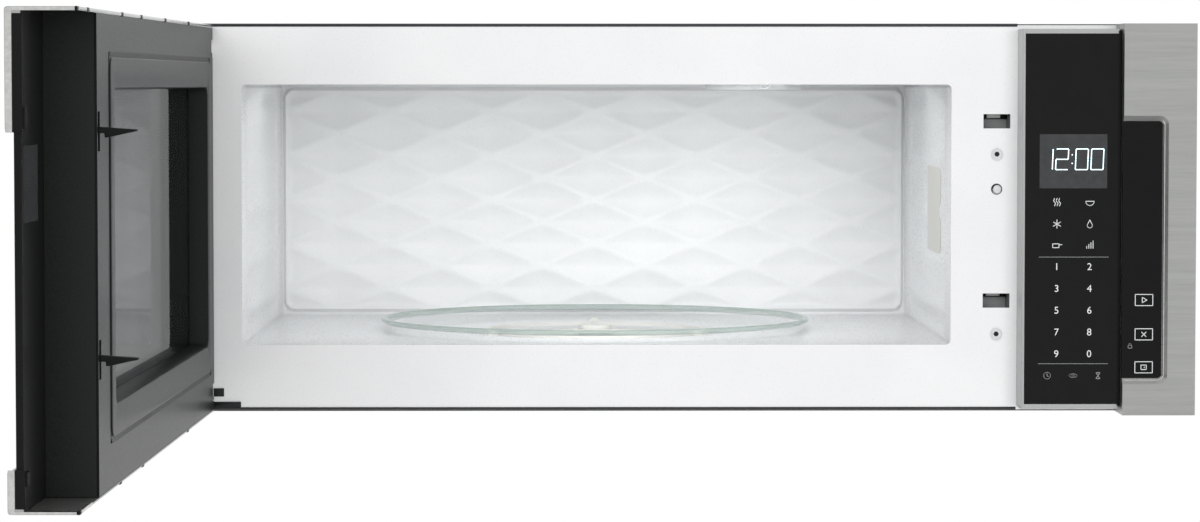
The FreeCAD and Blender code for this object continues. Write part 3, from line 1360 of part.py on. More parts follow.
def make_choke_frame():
    """Steel ring with a folded channel that stops the waves at the door's rim, and its screen."""
    x0, x1 = "place.core_start", "place.choke_end"
    z0, z1 = "place.core_low + 2.5", "place.core_high - 2.5"
    rear = "place.door_inner - size.cover_face - 0.4"
    ring = block("choke_outer", x0, x1, "place.pane_rear", rear, z0, z1)
    channel = block("choke_channel", x0 + " + 1", x1 + " - 1", "place.pane_rear + 1", rear + " + 1",
                    z0 + " + 1", z1 + " - 1")
    rim = block("choke_rim", "place.window_x0 - 5", "place.window_x1 + 5", "place.pane_rear + 0.5", rear,
                "place.window_z0 - 5", "place.window_z1 + 5")
    rim_room = block("choke_rim_room", "place.window_x0 - 4", "place.window_x1 + 4", "place.pane_rear + 1",
                     rear + " + 1", "place.window_z0 - 4", "place.window_z1 + 4")
    sight = block("choke_sight", "place.window_x0", "place.window_x1", "place.pane_rear - 1",
                  "place.pane_rear + 3", "place.window_z0", "place.window_z1")
    walls = cut("choke_walls", rim, rim_room)
    tray = cut("choke_tray", ring, channel)
    keep(set_door_place(cut("choke", join("choke_join", [tray, walls]), sight)), "door_choke_frame")
    mesh = block("mesh_sheet", "place.window_x0 - 3.8", "place.window_x1 + 3.8", "place.pane_rear + 1",
                 "place.pane_rear + 1.6", "place.window_z0 - 3.8", "place.window_z1 + 3.8")
    keep(set_door_place(group("mesh_set", [mesh])), "door_mesh_screen")
    glass = block("inner_sheet", "place.window_x0 - 3.6", "place.window_x1 + 3.6",
                  "place.window_y - size.pane_thick", "place.window_y",
                  "place.window_z0 - 3.6", "place.window_z1 + 3.6")
    keep(set_door_place(group("inner_set", [glass])), "door_inner_glass")


def make_inner_cover():
    """Dark moulded cover: the face, its skirts, the window's walls and the latch guides."""
    x0, x1 = "-0.8", "place.core_end"
    z0, z1 = "place.core_low", "place.core_high"
    face = "place.door_inner - size.cover_face"
    plate = block("cover_face", x0, x1, face, "place.door_inner", z0, z1)
    end = block("cover_end", x1 + " - size.core_wall", x1, "place.thin_rear", "place.door_inner", z0, z1)
    skirts = [
        block("cover_skirt_low", "place.core_start", x1, "place.pane_rear + 0.2", "place.door_inner",
              z0, z0 + " + 2"),
        block("cover_skirt_high", "place.core_start", x1, "place.pane_rear + 0.2", "place.door_inner",
              z1 + " - 2", z1),
    ]
    walls = block("cover_wall", "place.window_x0 - 3.6", "place.window_x1 + 3.6", "place.window_y",
                  "place.door_inner", "place.window_z0 - 3.6", "place.window_z1 + 3.6")
    sight = block("cover_sight", "place.window_x0", "place.window_x1", "place.window_y - 1",
                  "place.door_inner + 1", "place.window_z0", "place.window_z1")
    guides = []
    guide_rooms = []
    for level in ("size.slot_lower - 36", "size.slot_upper + 26"):
        low = "place.base + " + level
        guides.append(block("latch_guide", "place.latch_local - 5.5", x1 + " - 1", "-21", "-12",
                            low, low + " + 8"))
        guide_rooms.append(block("latch_guide_room", "place.latch_local - size.latch_width / 2 - 0.3",
                                 "place.latch_local + size.latch_width / 2 + 0.3", "-19.3", "-13.7",
                                 low + " - 1", low + " + 9"))
    slots = [block("hook_slot", "place.latch_local - 4.5", "place.latch_local + 4.5", face + " - 1",
                   "place.door_inner + 1", "place.base + %s - 12" % level, "place.base + %s + 12" % level)
             for level in ("size.slot_upper", "size.slot_lower")]
    groove_out = block("groove_out", "place.window_x0 - 22.6", "place.window_x1 + 20",
                       "place.door_inner - size.groove_depth",
                       "place.door_inner + 1", "place.window_z0 - 23", "place.window_z1 + 22")
    groove_in = block("groove_in", "place.window_x0 - 22.6 + size.groove_width",
                      "place.window_x1 + 20 - size.groove_width", "place.door_inner - size.groove_depth - 1",
                      "place.door_inner + 2", "place.window_z0 - 23 + size.groove_width",
                      "place.window_z1 + 22 - size.groove_width")
    post = rod("spring_post", "Z", ("place.latch_local", "-16.5", z1 + " - 8"), "1.2", "7")
    solid = join("cover_shell", [plate, end, walls, post] + skirts + guides)
    cuts = [sight, cut("groove", groove_out, groove_in)] + slots + guide_rooms + leaf_notches(
        "cover_notch", "size.pin_rise + 1.6")
    cuts.append(corner_relief("cover_relief"))
    keep(set_door_place(cut("inner_cover", solid, group("cover_cuts", cuts))), "door_inner_cover")


def make_hinge_bushes():
    """Plastic eyes in the door that turn on the bracket pins."""
    eyes = []
    for level in ("size.leaf_low", "place.leaf_high"):
        low = "place.base + %s + size.leaf_gauge + 0.3" % level
        eye = rod("eye", "Z", ("0", "0", low), "size.bush_radius", "size.pin_rise + 1")
        arm = block("eye_arm", "0", "place.core_start", "-4", "1", low, low + " + size.pin_rise + 1")
        bore = rod("eye_bore", "Z", ("0", "0", low + " - 1"), "size.pin_radius + size.bore_gap",
                   "size.pin_rise + 3")
        eyes.append(cut("bush", join("eye_solid", [eye, arm]), bore))
    keep(set_door_place(group("bushes", eyes)), "hinge_bushes")


def hook_points(middle):
    """One hook's outline, from below the blade round its tip to above it."""
    barb = "size.pivot_forward + size.frame_gauge + 0.8"
    tip = "place.door_inner + size.latch_reach"
    return [
        ("-14", middle + " - 6"),
        (barb, middle + " - 3.5"),
        (barb, middle + " - size.barb_drop"),
        (barb + " + 4", middle + " - size.barb_drop"),
        (tip, middle + " - 1"),
        (tip, middle + " + 0.8"),
        (barb, middle + " + 2.6"),
        ("-14", middle + " + 6"),
    ]


def make_latch():
    """One sliding bar with both hooks, and the spring over it."""
    lower = "place.base + size.slot_lower"
    upper = "place.base + size.slot_upper"
    body = new_body("latch_body")
    sketch = new_sketch(body, "YZ", "place.latch_local - size.latch_width / 2", "latch_outline")
    corners = [("-19", lower + " - 38"), ("-14", lower + " - 38")] + hook_points(lower) + hook_points(upper)
    corners += [("-14", "place.bar_high"), ("-19", "place.bar_high")]
    add_outline(sketch, corners)
    pad(body, sketch, "size.latch_width", "latch_pad")
    keep(set_door_place(body), "latch_hooks")

    make_latch_spring()


def make_latch_spring():
    """Small spring on its post that pushes the hook bar down, its close turns drawn as one sleeve."""
    low = "place.bar_high + size.latch_travel + size.running_gap"
    run = "place.core_high - 2 - size.running_gap - (%s)" % low
    start = ("place.latch_local", "-16.5", low)
    outer = rod("spring_outer", "Z", start, "size.spring_radius + size.spring_wire / 2", run)
    inner = rod("spring_inner", "Z", start, "size.spring_radius - size.spring_wire / 2", run)
    spring = set_door_place(cut("spring", outer, inner))
    keep(spring, "latch_spring")


def make_mains_gland():
    """Flat moulded gland on top where the supply lead enters."""
    low = "place.top - size.case_gauge - size.gland_depth"
    high = "place.top + size.gland_rise"
    gland = turned_body("gland", [
        ("size.gland_bore", low),
        ("size.gland_shank", low),
        ("size.gland_shank", "place.top"),
        ("size.gland_flange", "place.top"),
        ("size.gland_flange - 1.5", high),
        ("size.gland_bore", high),
    ])
    gland.setExpression("Placement.Base.x", "place.right - size.gland_inset")
    gland.setExpression("Placement.Base.y", "-size.gland_setback")
    keep(gland, "mains_gland")


# ---------------------------------------------------------------- build, test and write


def make_all():
    make_wall_plate()
    make_rear_panel()
    make_outer_case()
    make_base_pan()
    make_front_frame()
    make_oven_cavity()
    make_cavity_lamp()
    make_waveguide()
    make_magnetron()
    make_power_supply()
    make_cooling_fan()
    make_blower_housing()
    make_blower_motor()
    make_blower_wheels()
    make_exhaust()
    make_grease_filters()
    make_cooktop_lamps()
    make_turntable()
    make_roller_ring()
    make_control_block()
    make_end_trim()
    make_latch_board()
    make_hinge_brackets()
    make_door_skin()
    make_door_glass()
    make_keypad_cover()
    make_choke_frame()
    make_inner_cover()
    make_hinge_bushes()
    make_latch()
    make_mains_gland()


def test_and_write():
    doc.recompute()
    faults = [item.Name for item in doc.Objects if "Invalid" in item.State or "Error" in item.State]
    for item in nodes:
        shape = item.Shape
        if shape.isNull() or not shape.isValid() or not shape.Solids:
            faults.append(item.Label)
    if faults:
        raise RuntimeError("failed: " + ", ".join(faults))
    os.makedirs("parts", exist_ok=True)
    for item in nodes:
        item.Shape.exportStep("parts/%s.step" % item.Label)
        box = item.Shape.BoundBox
        print("%-22s solids %2d  volume %9.0f  x %7.1f %7.1f  y %7.1f %7.1f  z %7.1f %7.1f" % (
            item.Label, len(item.Shape.Solids), item.Shape.Volume, box.XMin, box.XMax,
            box.YMin, box.YMax, box.ZMin, box.ZMax))


make_all()
test_and_write()
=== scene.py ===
"""Looks for an over the range microwave whose door stands open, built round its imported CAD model."""

import json
import math
from types import SimpleNamespace

import bmesh
import bpy
from mathutils import Matrix, Vector


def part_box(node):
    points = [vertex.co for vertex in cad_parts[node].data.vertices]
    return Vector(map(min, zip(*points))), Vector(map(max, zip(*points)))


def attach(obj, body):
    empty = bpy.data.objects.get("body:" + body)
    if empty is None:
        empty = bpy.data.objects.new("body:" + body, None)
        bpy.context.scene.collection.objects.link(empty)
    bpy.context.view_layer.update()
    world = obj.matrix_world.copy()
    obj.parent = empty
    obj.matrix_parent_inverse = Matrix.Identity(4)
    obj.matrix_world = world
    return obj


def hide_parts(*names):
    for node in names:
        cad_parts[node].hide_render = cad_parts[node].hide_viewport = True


bl_info = {
    "name": "Over the range microwave",
    "version": (1, 0, 0),
    "blender": (4, 5, 0),
    "location": "3D View > Sidebar > Microwave",
    "description": "Pressed oven liner, printed controls, door details and finishes on a packed CAD model",
    "category": "Add Mesh",
}

MM = 0.001
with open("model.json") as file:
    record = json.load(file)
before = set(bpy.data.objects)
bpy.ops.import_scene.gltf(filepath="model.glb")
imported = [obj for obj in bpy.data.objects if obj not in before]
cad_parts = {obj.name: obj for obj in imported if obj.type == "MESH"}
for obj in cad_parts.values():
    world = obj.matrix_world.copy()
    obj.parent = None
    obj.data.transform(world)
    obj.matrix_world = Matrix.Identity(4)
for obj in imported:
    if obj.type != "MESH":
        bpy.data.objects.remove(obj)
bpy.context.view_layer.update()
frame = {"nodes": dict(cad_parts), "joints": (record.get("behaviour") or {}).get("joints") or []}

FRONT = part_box("front_frame")[0].y
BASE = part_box("front_frame")[0].z
PANEL_FACE, PANEL_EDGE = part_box("control_glass")
STRIP_FACE, STRIP_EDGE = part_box("touch_strip_glass")
PRINT_GAP = 0.06 * MM

# millimetres: across from the middle of the case, up from its base, back or out from the front plate
CATCH_X = 232.6
CATCH_DEPTH = 23.8
SLOT_HEIGHTS = (222.6, 84.8)
SCREW_HEIGHTS = (196.6, 58.4)
SCREW_HEAD = 1.52
STUD_HEIGHT = 169.7

# millimetres in the door's own frame: each ring's left, right, low and high edge, and where the cover ends
PANEL_RING = (21.9, 560.5, -115.7, 119.3)
WINDOW_RING = (41.5, 543.5, -95.7, 100.3)
COVER_END = 613.5
# millimetres: clips from the door's free end, and how far the skin's return reaches from its two corners
CLIPS_UPPER = (44, 191, 282, 407, 540)
CLIPS_LOWER = (176, 282, 528)
RETURN_UPPER = 73
RETURN_LOWER = 26


# ---------------------------------------------------------------- sizes and colours


def length(name, default, description, low=0.0):
    """A length in metres, given in millimetres."""
    return bpy.props.FloatProperty(
        name=name, description=description, default=default * MM, min=low, unit="LENGTH", precision=5
    )


def number(name, default, description):
    """A whole number of at least one."""
    return bpy.props.IntProperty(name=name, description=description, default=default, min=1)


def colour(name, default, description):
    """A colour as an sRGB hex value."""
    return bpy.props.StringProperty(name=name, description=description, default=default)


class LinerSizes(bpy.types.PropertyGroup):
    """Pressing of the oven's liner."""

    quilts_across: number("Diamonds across", 6, "Across the back wall")
    quilts_up: number("Diamonds up", 5, "Up the back wall")
    quilt_rise: length("Dish depth", 3.6, "How deep a diamond dishes into the back wall")
    bead_margin: length("Bead margin", 4.6, "From the side of the back wall to the raised bead")
    bead_corner: length("Bead corner", 9, "Radius of the bead's corners")
    bead_rise: length("Bead rise", 0.9, "How far the bead round the diamonds stands out")
    rib_rise: length("Rib rise", 1.8, "How deep a panel dishes into a side wall")
    corner: length("Corner radius", 2.5, "Inner radius along the liner's corners")
    heel: length("Heel radius", 3.2, "Radius where the walls meet the back")
    step: length("Mesh step", 4, "Size of the liner's quads", low=0.001)


class DoorSizes(bpy.types.PropertyGroup):
    """Small trim on the door."""

    hem: length("Hem height", 2.6, "Height of the skin's folded hem at the top of the free end")


class PrintSizes(bpy.types.PropertyGroup):
    """Printing on the control glass and the touch strip."""

    column_left: length("Left column", 24.5, "Left key column from the control glass's edge")
    column_right: length("Right column", 49.5, "Right key column from the control glass's edge")
    row_pitch: length("Row pitch", 16.6, "Distance between rows of digits")
    first_row: length("First digit row", 111.3, "Height of the digits 1 and 2 above the case's base")
    digit_height: length("Digit height", 5.3, "Height of a printed digit")
    symbol: length("Symbol size", 6.4, "Width of a printed symbol")
    stroke: length("Stroke", 0.55, "Width of a symbol's stroke")
    segment_height: length("Clock height", 15.7, "Height of a clock digit")
    segment_width: length("Clock width", 9.3, "Width of a clock digit")
    segment_stroke: length("Clock stroke", 0.75, "Width of one lit segment")
    key_width: length("Touch key width", 13.3, "Width of a key's outline on the touch strip")
    key_height: length("Touch key height", 8.5, "Height of a key's outline on the touch strip")


class FinishColours(bpy.types.PropertyGroup):
    """Colours that a user would change, as sRGB hex values."""

    frame_paint: colour("Frame paint", "#f2f2f2", "Painted steel front plate")
    liner_paint: colour("Liner enamel", "#eeeff0", "Enamel of the oven's liner")
    stainless: colour("Stainless steel", "#a9aaa8", "Door skin and end trim")
    black_glass: colour("Black glass", "#0c0c0d", "Glass over the controls")
    door_plastic: colour("Door plastic", "#1b1d1c", "Moulded inside of the door")
    case_paint: colour("Case paint", "#262728", "Wrapper and underside")
    clock_light: colour("Clock light", "#e8fbff", "Lit clock digits")
    floor: colour("Floor", "#f4f4f4", "Studio floor")


# ---------------------------------------------------------------- materials


def linear(text):
    """A linear RGBA colour from an sRGB hex value."""
    values = [int(text[place:place + 2], 16) / 255 for place in (1, 3, 5)]
    return [v / 12.92 if v < 0.04045 else ((v + 0.055) / 1.055) ** 2.4 for v in values] + [1.0]


def add_node(tree, kind, settings=None, links=None):
    """Add one node, give it its values and link other outputs into it."""
    node = tree.nodes.new(kind)
    for key, value in (settings or {}).items():
        if isinstance(key, int) or key in node.inputs:
            node.inputs[key].default_value = value
        else:
            setattr(node, key, value)
    for key, source in (links or {}).items():
        tree.links.new(source, node.inputs[key])
    return node


def new_material(name, **settings):
    """A material with one Principled shader, whose inputs are named with underscores for spaces."""
    material = bpy.data.materials.new(name)
    material.use_nodes = True
    tree = material.node_tree
    shader = tree.nodes["Principled BSDF"]
    for key, value in settings.items():
        shader.inputs[key.replace("_", " ")].default_value = value
    return material, tree, shader


def pattern(tree, kind, sizes, **settings):
    """A procedural pattern over the object, its features as large as sizes: millimetres along each axis."""
    where = add_node(tree, "ShaderNodeTexCoord")
    scale = [1 / (MM * size) for size in sizes]
    laid = add_node(tree, "ShaderNodeMapping", {"Scale": scale}, {"Vector": where.outputs["Object"]})
    return add_node(tree, kind, {"Scale": 1.0, **settings}, {"Vector": laid.outputs[0]})


def shift_hex(text, amount):
    """The same colour a little lighter or darker, each channel by so many steps of 255."""
    channels = [int(text[place:place + 2], 16) + amount for place in (1, 3, 5)]
    return "#" + "".join("%02x" % min(255, max(0, channel)) for channel in channels)


def vary(tree, shader, source, tones=None, gloss=None, relief=0.0, spread=(0.3, 0.7)):
    """Let one pattern carry the small changes of tone, roughness and height (mm) that a real surface has."""
    if tones:
        ramp = add_node(tree, "ShaderNodeValToRGB", {}, {"Fac": source})
        for stop, place, tone in zip(ramp.color_ramp.elements, spread, tones):
            stop.position = place
            stop.color = linear(tone)
        tree.links.new(ramp.outputs["Color"], shader.inputs["Base Color"])
    if gloss:
        reach = {"From Min": spread[0], "From Max": spread[1], "To Min": gloss[0], "To Max": gloss[1]}
        rough = add_node(tree, "ShaderNodeMapRange", reach, {"Value": source})
        tree.links.new(rough.outputs[0], shader.inputs["Roughness"])
    if relief:
        depth = {"Strength": 0.2, "Distance": relief * MM}
        dent = add_node(tree, "ShaderNodeBump", depth, {"Height": source})
        tree.links.new(dent.outputs["Normal"], shader.inputs["Normal"])


def powder_coat(name, paint, darker, roughness, peel):
    """Powder coat on pressed steel: baked paint with a fine orange peel, gloss softened by it."""
    material, tree, shader = new_material(name, IOR=1.5, Coat_Weight=0.15, Coat_Roughness=0.2)
    dimple = pattern(tree, "ShaderNodeTexNoise", (peel,) * 3, Detail=2.0)
    cloud = pattern(tree, "ShaderNodeTexNoise", (90, 90, 90), Detail=3.0)
    vary(tree, shader, cloud.outputs["Fac"], tones=(darker, paint))
    vary(tree, shader, dimple.outputs["Fac"], gloss=(roughness * 0.85, roughness * 1.15), relief=0.03)
    return material


def brushed_stainless(name, steel, brush):
    """Brushed stainless steel: a belt leaves long fine scratches one way, which smear what it mirrors."""
    material, tree, shader = new_material(name, Metallic=1.0)
    grain = pattern(tree, "ShaderNodeTexNoise", brush, Detail=3.0, Roughness=0.6)
    band = pattern(tree, "ShaderNodeTexNoise", [size * 7 for size in brush], Detail=2.0)
    scratches = {"A": grain.outputs["Fac"], "B": band.outputs["Fac"]}
    both = add_node(tree, "ShaderNodeMix", {"Factor": 0.35}, scratches)
    vary(tree, shader, both.outputs["Result"], tones=(shift_hex(steel, -12), shift_hex(steel, 10)))
    vary(tree, shader, grain.outputs["Fac"], gloss=(0.3, 0.46), relief=0.025)
    return material


def galvanised_steel():
    """Hot dipped galvanised sheet: zinc crystals about 9 mm wide, each with its own grey."""
    material, tree, shader = new_material("galvanised_steel", Metallic=1.0)
    spangle = pattern(tree, "ShaderNodeTexVoronoi", (9, 9, 9))
    crystal = add_node(tree, "ShaderNodeSeparateColor", {}, {"Color": spangle.outputs["Color"]})
    vary(tree, shader, crystal.outputs["Red"], tones=("#8b8f91", "#b9bcbd"), spread=(0, 1))
    vary(tree, shader, crystal.outputs["Green"], gloss=(0.32, 0.5), spread=(0, 1))
    return material


def moulded_plastic(name, plastic, roughness, grain, depth=0.03, specular=0.5):
    """Injection moulded plastic: the mould's spark texture gives a fine even grain."""
    material, tree, shader = new_material(name, IOR=1.5, Specular_IOR_Level=specular)
    texture = pattern(tree, "ShaderNodeTexNoise", (grain,) * 3, Detail=3.0)
    gloss = (roughness * 0.85, roughness * 1.2)
    vary(tree, shader, texture.outputs["Fac"], (plastic, shift_hex(plastic, 8)), gloss, depth)
    return material


def printed_glass(name, glass):
    """Float glass printed black on its back: an even dark under a hard clear gloss."""
    material, tree, shader = new_material(name, IOR=1.52, Specular_IOR_Level=0.15)
    haze = pattern(tree, "ShaderNodeTexNoise", (14, 14, 14), Detail=4.0)
    vary(tree, shader, haze.outputs["Fac"], (glass, shift_hex(glass, 3)), (0.04, 0.1))
    return material


def clear_glass(name, tint, roughness, transmission=1.0, cover=1.0):
    """Tempered clear glass: smooth, with the green that iron gives to its edges; cover is its Alpha."""
    material, tree, shader = new_material(name, IOR=1.47, Transmission_Weight=transmission, Alpha=cover)
    shader.inputs["Base Color"].default_value = linear(tint)
    wave = pattern(tree, "ShaderNodeTexNoise", (25, 25, 25), Detail=1.0)
    vary(tree, shader, wave.outputs["Fac"], gloss=(roughness * 0.6, roughness * 1.4))
    return material


def perforated_steel(name, steel, hole, pitch):
    """Punched choke screen painted black: round holes in rows, a little coarser so that they show."""
    material, tree, shader = new_material(name, IOR=1.5)
    cells = pattern(tree, "ShaderNodeTexVoronoi", (pitch,) * 3, Randomness=0.0)
    vary(tree, shader, cells.outputs["Distance"], (hole, steel), (0.7, 0.35), spread=(0.32, 0.42))
    return material


def woven_mesh(name, wire, gap, pitch):
    """Expanded aluminium filter mesh: bright strands over a dark gap, a little coarser so that they show."""
    material, tree, shader = new_material(name, Metallic=0.85)
    strands = pattern(tree, "ShaderNodeTexVoronoi", (pitch, pitch * 0.6, pitch), Randomness=0.15)
    vary(tree, shader, strands.outputs["Distance"], (gap, wire), (0.6, 0.32), 0.4, spread=(0.2, 0.5))
    return material


def printed_ink(name, ink, glow=0.0):
    """Screen printed ceramic ink, slightly uneven, with glow as its emission: a lit segment's own light, and
    on plain print a painted glow.
    """
    material, tree, shader = new_material(name, IOR=1.45, Emission_Color=linear(ink), Emission_Strength=glow)
    speck = pattern(tree, "ShaderNodeTexNoise", (1.2, 1.2, 1.2), Detail=2.0)
    vary(tree, shader, speck.outputs["Fac"], (shift_hex(ink, -14), ink), (0.35, 0.5))
    return material


def cast_metal(name, metal, roughness, metallic=1.0, grain=0.8):
    """Plated or plain metal part: even tone, faint mottling from its dull plating."""
    material, tree, shader = new_material(name, Metallic=metallic)
    mottle = pattern(tree, "ShaderNodeTexNoise", (grain,) * 3, Detail=3.0)
    gloss = (roughness * 0.8, roughness * 1.2)
    vary(tree, shader, mottle.outputs["Fac"], (shift_hex(metal, -18), metal), gloss, 0.01)
    return material


def make_materials(paints):
    """Every finish on the microwave, by name."""
    return {
        "frame_paint": powder_coat("white_powder_coat", paints.frame_paint, "#ededee", 0.3, 1.6),
        "liner": powder_coat("grey_liner_enamel", paints.liner_paint, "#e8e9ea", 0.3, 1.2),
        "case_paint": powder_coat("black_powder_coat", paints.case_paint, "#202122", 0.45, 1.0),
        "steel_across": brushed_stainless("stainless_brushed_across", paints.stainless, (34, 0.5, 0.5)),
        "steel_door": brushed_stainless("stainless_brushed_door", paints.stainless, (0.5, 34, 0.5)),
        "polished_steel": cast_metal("stainless_polished", "#cbccca", 0.2, grain=3),
        "galvanised": galvanised_steel(),
        "control_glass": printed_glass("black_printed_glass", paints.black_glass),
        "touch_glass": printed_glass("black_touch_glass", "#050505"),
        "window_glass": clear_glass("tempered_window_glass", "#2b2d2c", 0.03, 0.0, 0.5),
        "tray_glass": clear_glass("tempered_tray_glass", "#dfe7e4", 0.08, 0.0, 0.16),
        "tray_edge": clear_glass("tempered_glass_edge", "#a9bdb4", 0.1, 0.0, 0.6),
        "display_window": moulded_plastic("smoked_display_window", "#3c3d3e", 0.18, 6, 0.0, 0.15),
        "door_plastic": moulded_plastic("black_abs_gloss", paints.door_plastic, 0.32, 0.9, 0.02, 0.08),
        "dark_plastic": moulded_plastic("black_abs_satin", "#0d0e0d", 0.38, 0.8, specular=0.1),
        "acetal": moulded_plastic("natural_acetal", "#e2e1dc", 0.4, 0.7),
        "grey_plastic": moulded_plastic("grey_nylon", "#8d9292", 0.5, 0.7),
        "silver_plastic": moulded_plastic("silver_painted_abs", "#a6a7a6", 0.36, 0.5),
        "rubber": moulded_plastic("black_rubber", "#171717", 0.7, 0.6, 0.05),
        "circuit": moulded_plastic("green_circuit_laminate", "#1f5a3a", 0.4, 2.0),
        "mica": moulded_plastic("pressed_mica", "#d3d2cc", 0.45, 3.0),
        "lens": clear_glass("frosted_polycarbonate", "#f2f4f4", 0.35, 0.7),
        "bulb": printed_ink("frosted_bulb", "#fff4e0"),
        "screen": perforated_steel("black_punched_screen", "#1a1b1b", "#060606", 2.2),
        "filter": woven_mesh("aluminium_mesh", "#c2c4c5", "#3c3e40", 3.2),
        "zinc": cast_metal("zinc_plate", "#b4b7ba", 0.35),
        "core_steel": cast_metal("laminated_steel", "#56585a", 0.5),
        "black_steel": cast_metal("black_zinc_plate", "#2b2c2d", 0.42, 0.6),
        "spring_steel": cast_metal("spring_steel", "#9da0a2", 0.3),
        "screw_zinc": cast_metal("bright_zinc_plate", "#e6e7e8", 0.5, 0.25),
        "lever_plastic": moulded_plastic("light_grey_nylon", "#8f9090", 0.5, 0.7),
        # both screen printed inks glow faintly: a painted glow, since print gives no light
        "print": printed_ink("pale_screen_print_painted_glow", "#d8dada", 0.25),
        "faint_print": printed_ink("grey_screen_print_painted_glow", "#9a9d9e", 0.12),
        "clock_light": printed_ink("lit_clock_segment", paints.clock_light, 1.0),
    }


NODE_FINISH = {
    "frame_paint": ["front_frame"],
    "case_paint": ["outer_case", "base_pan"],
    "galvanised": ["wall_mounting_plate", "rear_panel", "waveguide", "exhaust_duct", "damper_collar",
                   "damper_flap", "blower_housing"],
    "steel_across": ["end_trim"],
    "steel_door": ["door_skin"],
    "control_glass": ["control_glass"],
    "touch_glass": ["touch_strip_glass", "door_glass"],
    "window_glass": ["door_inner_glass"],
    "display_window": ["display_lens", "display_module"],
    "door_plastic": ["door_inner_cover"],
    "dark_plastic": ["keypad_cover", "door_corner_blocks", "blower_wheels", "cooling_fan_blade"],
    "acetal": ["drive_coupler", "roller_ring", "roller_rear", "roller_left", "roller_right", "hinge_bushes"],
    "grey_plastic": ["latch_board", "interlock_switches"],
    "silver_plastic": ["control_housing"],
    "rubber": ["mains_gland"],
    "circuit": ["control_board"],
    "mica": ["waveguide_cover"],
    "lens": ["cavity_lamp_lens", "cooktop_lamp_covers"],
    "bulb": ["cavity_lamp_bulb", "cooktop_lamps"],
    "screen": ["door_mesh_screen"],
    "filter": ["grease_filter_left", "grease_filter_right"],
    "zinc": ["capacitor", "turntable_motor", "magnetron"],
    "core_steel": ["power_transformer", "vent_blower_motor", "cooling_fan_motor"],
    "black_steel": ["hinge_bracket_lower", "hinge_bracket_upper", "door_choke_frame"],
    "spring_steel": ["latch_spring"],
    "screw_zinc": ["frame_screws"],
    "liner": ["oven_cavity"],
}
FINISHES = {}


# ---------------------------------------------------------------- mesh helpers


def add_piece(name, mesh, finish, body="cabinet", smooth=None):
    """Make an object from a bmesh, give it its finish and let it ride on a body."""
    data = bpy.data.meshes.new(name)
    bmesh.ops.recalc_face_normals(mesh, faces=mesh.faces)
    mesh.to_mesh(data)
    mesh.free()
    piece = bpy.data.objects.new(name, data)
    bpy.context.scene.collection.objects.link(piece)
    data.materials.append(FINISHES[finish])
    if smooth is not None:
        data.shade_smooth()
        data.set_sharp_from_angle(angle=math.radians(smooth))
    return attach(piece, body)


def net(mesh, rows, closed=False):
    """Join rows of points with quads; closed also joins each row's end to its start."""
    grid = [[mesh.verts.new(point) for point in row] for row in rows]
    for low, high in zip(grid, grid[1:]):
        count = len(low)
        for place in range(count if closed else count - 1):
            following = (place + 1) % count
            mesh.faces.new((low[place], low[following], high[following], high[place]))
    return grid


def smooth_step(value):
    """0 below 0, 1 above 1, and smooth between."""
    value = min(1.0, max(0.0, value))
    return value * value * (3 - 2 * value)


def arc(centre, radius, start, end, steps=16):
    """Points on an arc, angles in degrees."""
    angles = [math.radians(start + (end - start) * step / steps) for step in range(steps + 1)]
    return [(centre[0] + radius * math.cos(a), centre[1] + radius * math.sin(a)) for a in angles]


# ---------------------------------------------------------------- oven liner


def liner_frame():
    """The liner's opening and back, in metres."""
    low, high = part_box("oven_cavity")
    flange, gauge = 9 * MM, 0.8 * MM
    return SimpleNamespace(
        left=low.x + flange,
        right=high.x - flange,
        floor=low.z + flange,
        ceiling=high.z - flange,
        front=low.y,
        rear=high.y - gauge,
        flange=flange,
    )


def bead_distance(x, z, room, margin, radius):
    """Signed distance from a rounded rectangle inside the back wall, negative within it."""
    half_x = (room.right - room.left) / 2 - margin - radius
    half_z = (room.ceiling - room.floor) / 2 - margin - radius
    over_x = abs(x - (room.left + room.right) / 2) - half_x
    over_z = abs(z - (room.ceiling + room.floor) / 2) - half_z
    return math.hypot(max(over_x, 0), max(over_z, 0)) + min(max(over_x, over_z), 0) - radius


def dish(share):
    """Depth of a pressed dish, 0 on its rim and 1 in its middle, with a crisp rim and a round bowl."""
    share = min(1.0, max(0.0, share))
    return 1 - (1 - share) ** 1.7


def quilt_cell(room, sizes):
    """Half the width and half the height of a diamond, which fill the bead a whole number of times."""
    wide = room.right - room.left - 2 * sizes.bead_margin
    tall = room.ceiling - room.floor - 2 * sizes.bead_margin
    return wide / sizes.quilts_across / 2, tall / sizes.quilts_up / 2


def quilt_height(x, z, room, sizes):
    """Round-tipped diamonds dished into the wall, the ridges between them wider where they cross."""
    half_wide, half_tall = quilt_cell(room, sizes)
    across = (x - (room.left + room.right) / 2) / half_wide
    up = (z - (room.ceiling + room.floor) / 2) / half_tall
    # the power rounds a diamond's tips, and the rim is where the sum of both distances ends it
    power, rim = 1.23, 0.79
    nearest = []
    for odd in (0, 1):
        column = 2 * round((across - odd) / 2) + odd
        row = 2 * round((up - 1 + odd) / 2) + 1 - odd
        nearest.append((abs(across - column) ** power + abs(up - row) ** power) / rim)
    inside = bead_distance(x, z, room, sizes.bead_margin, sizes.bead_corner)
    clear, fade, bead_width, rise_width = 1.2 * MM, 4 * MM, 1.1 * MM, 2 * MM
    bowl = dish(1 - min(nearest)) * smooth_step((-inside - clear) / fade)
    bead = math.exp(-((inside / bead_width) ** 2))
    level = smooth_step((-inside + rise_width) / rise_width)
    return sizes.quilt_rise * (level - bowl) + sizes.bead_rise * bead


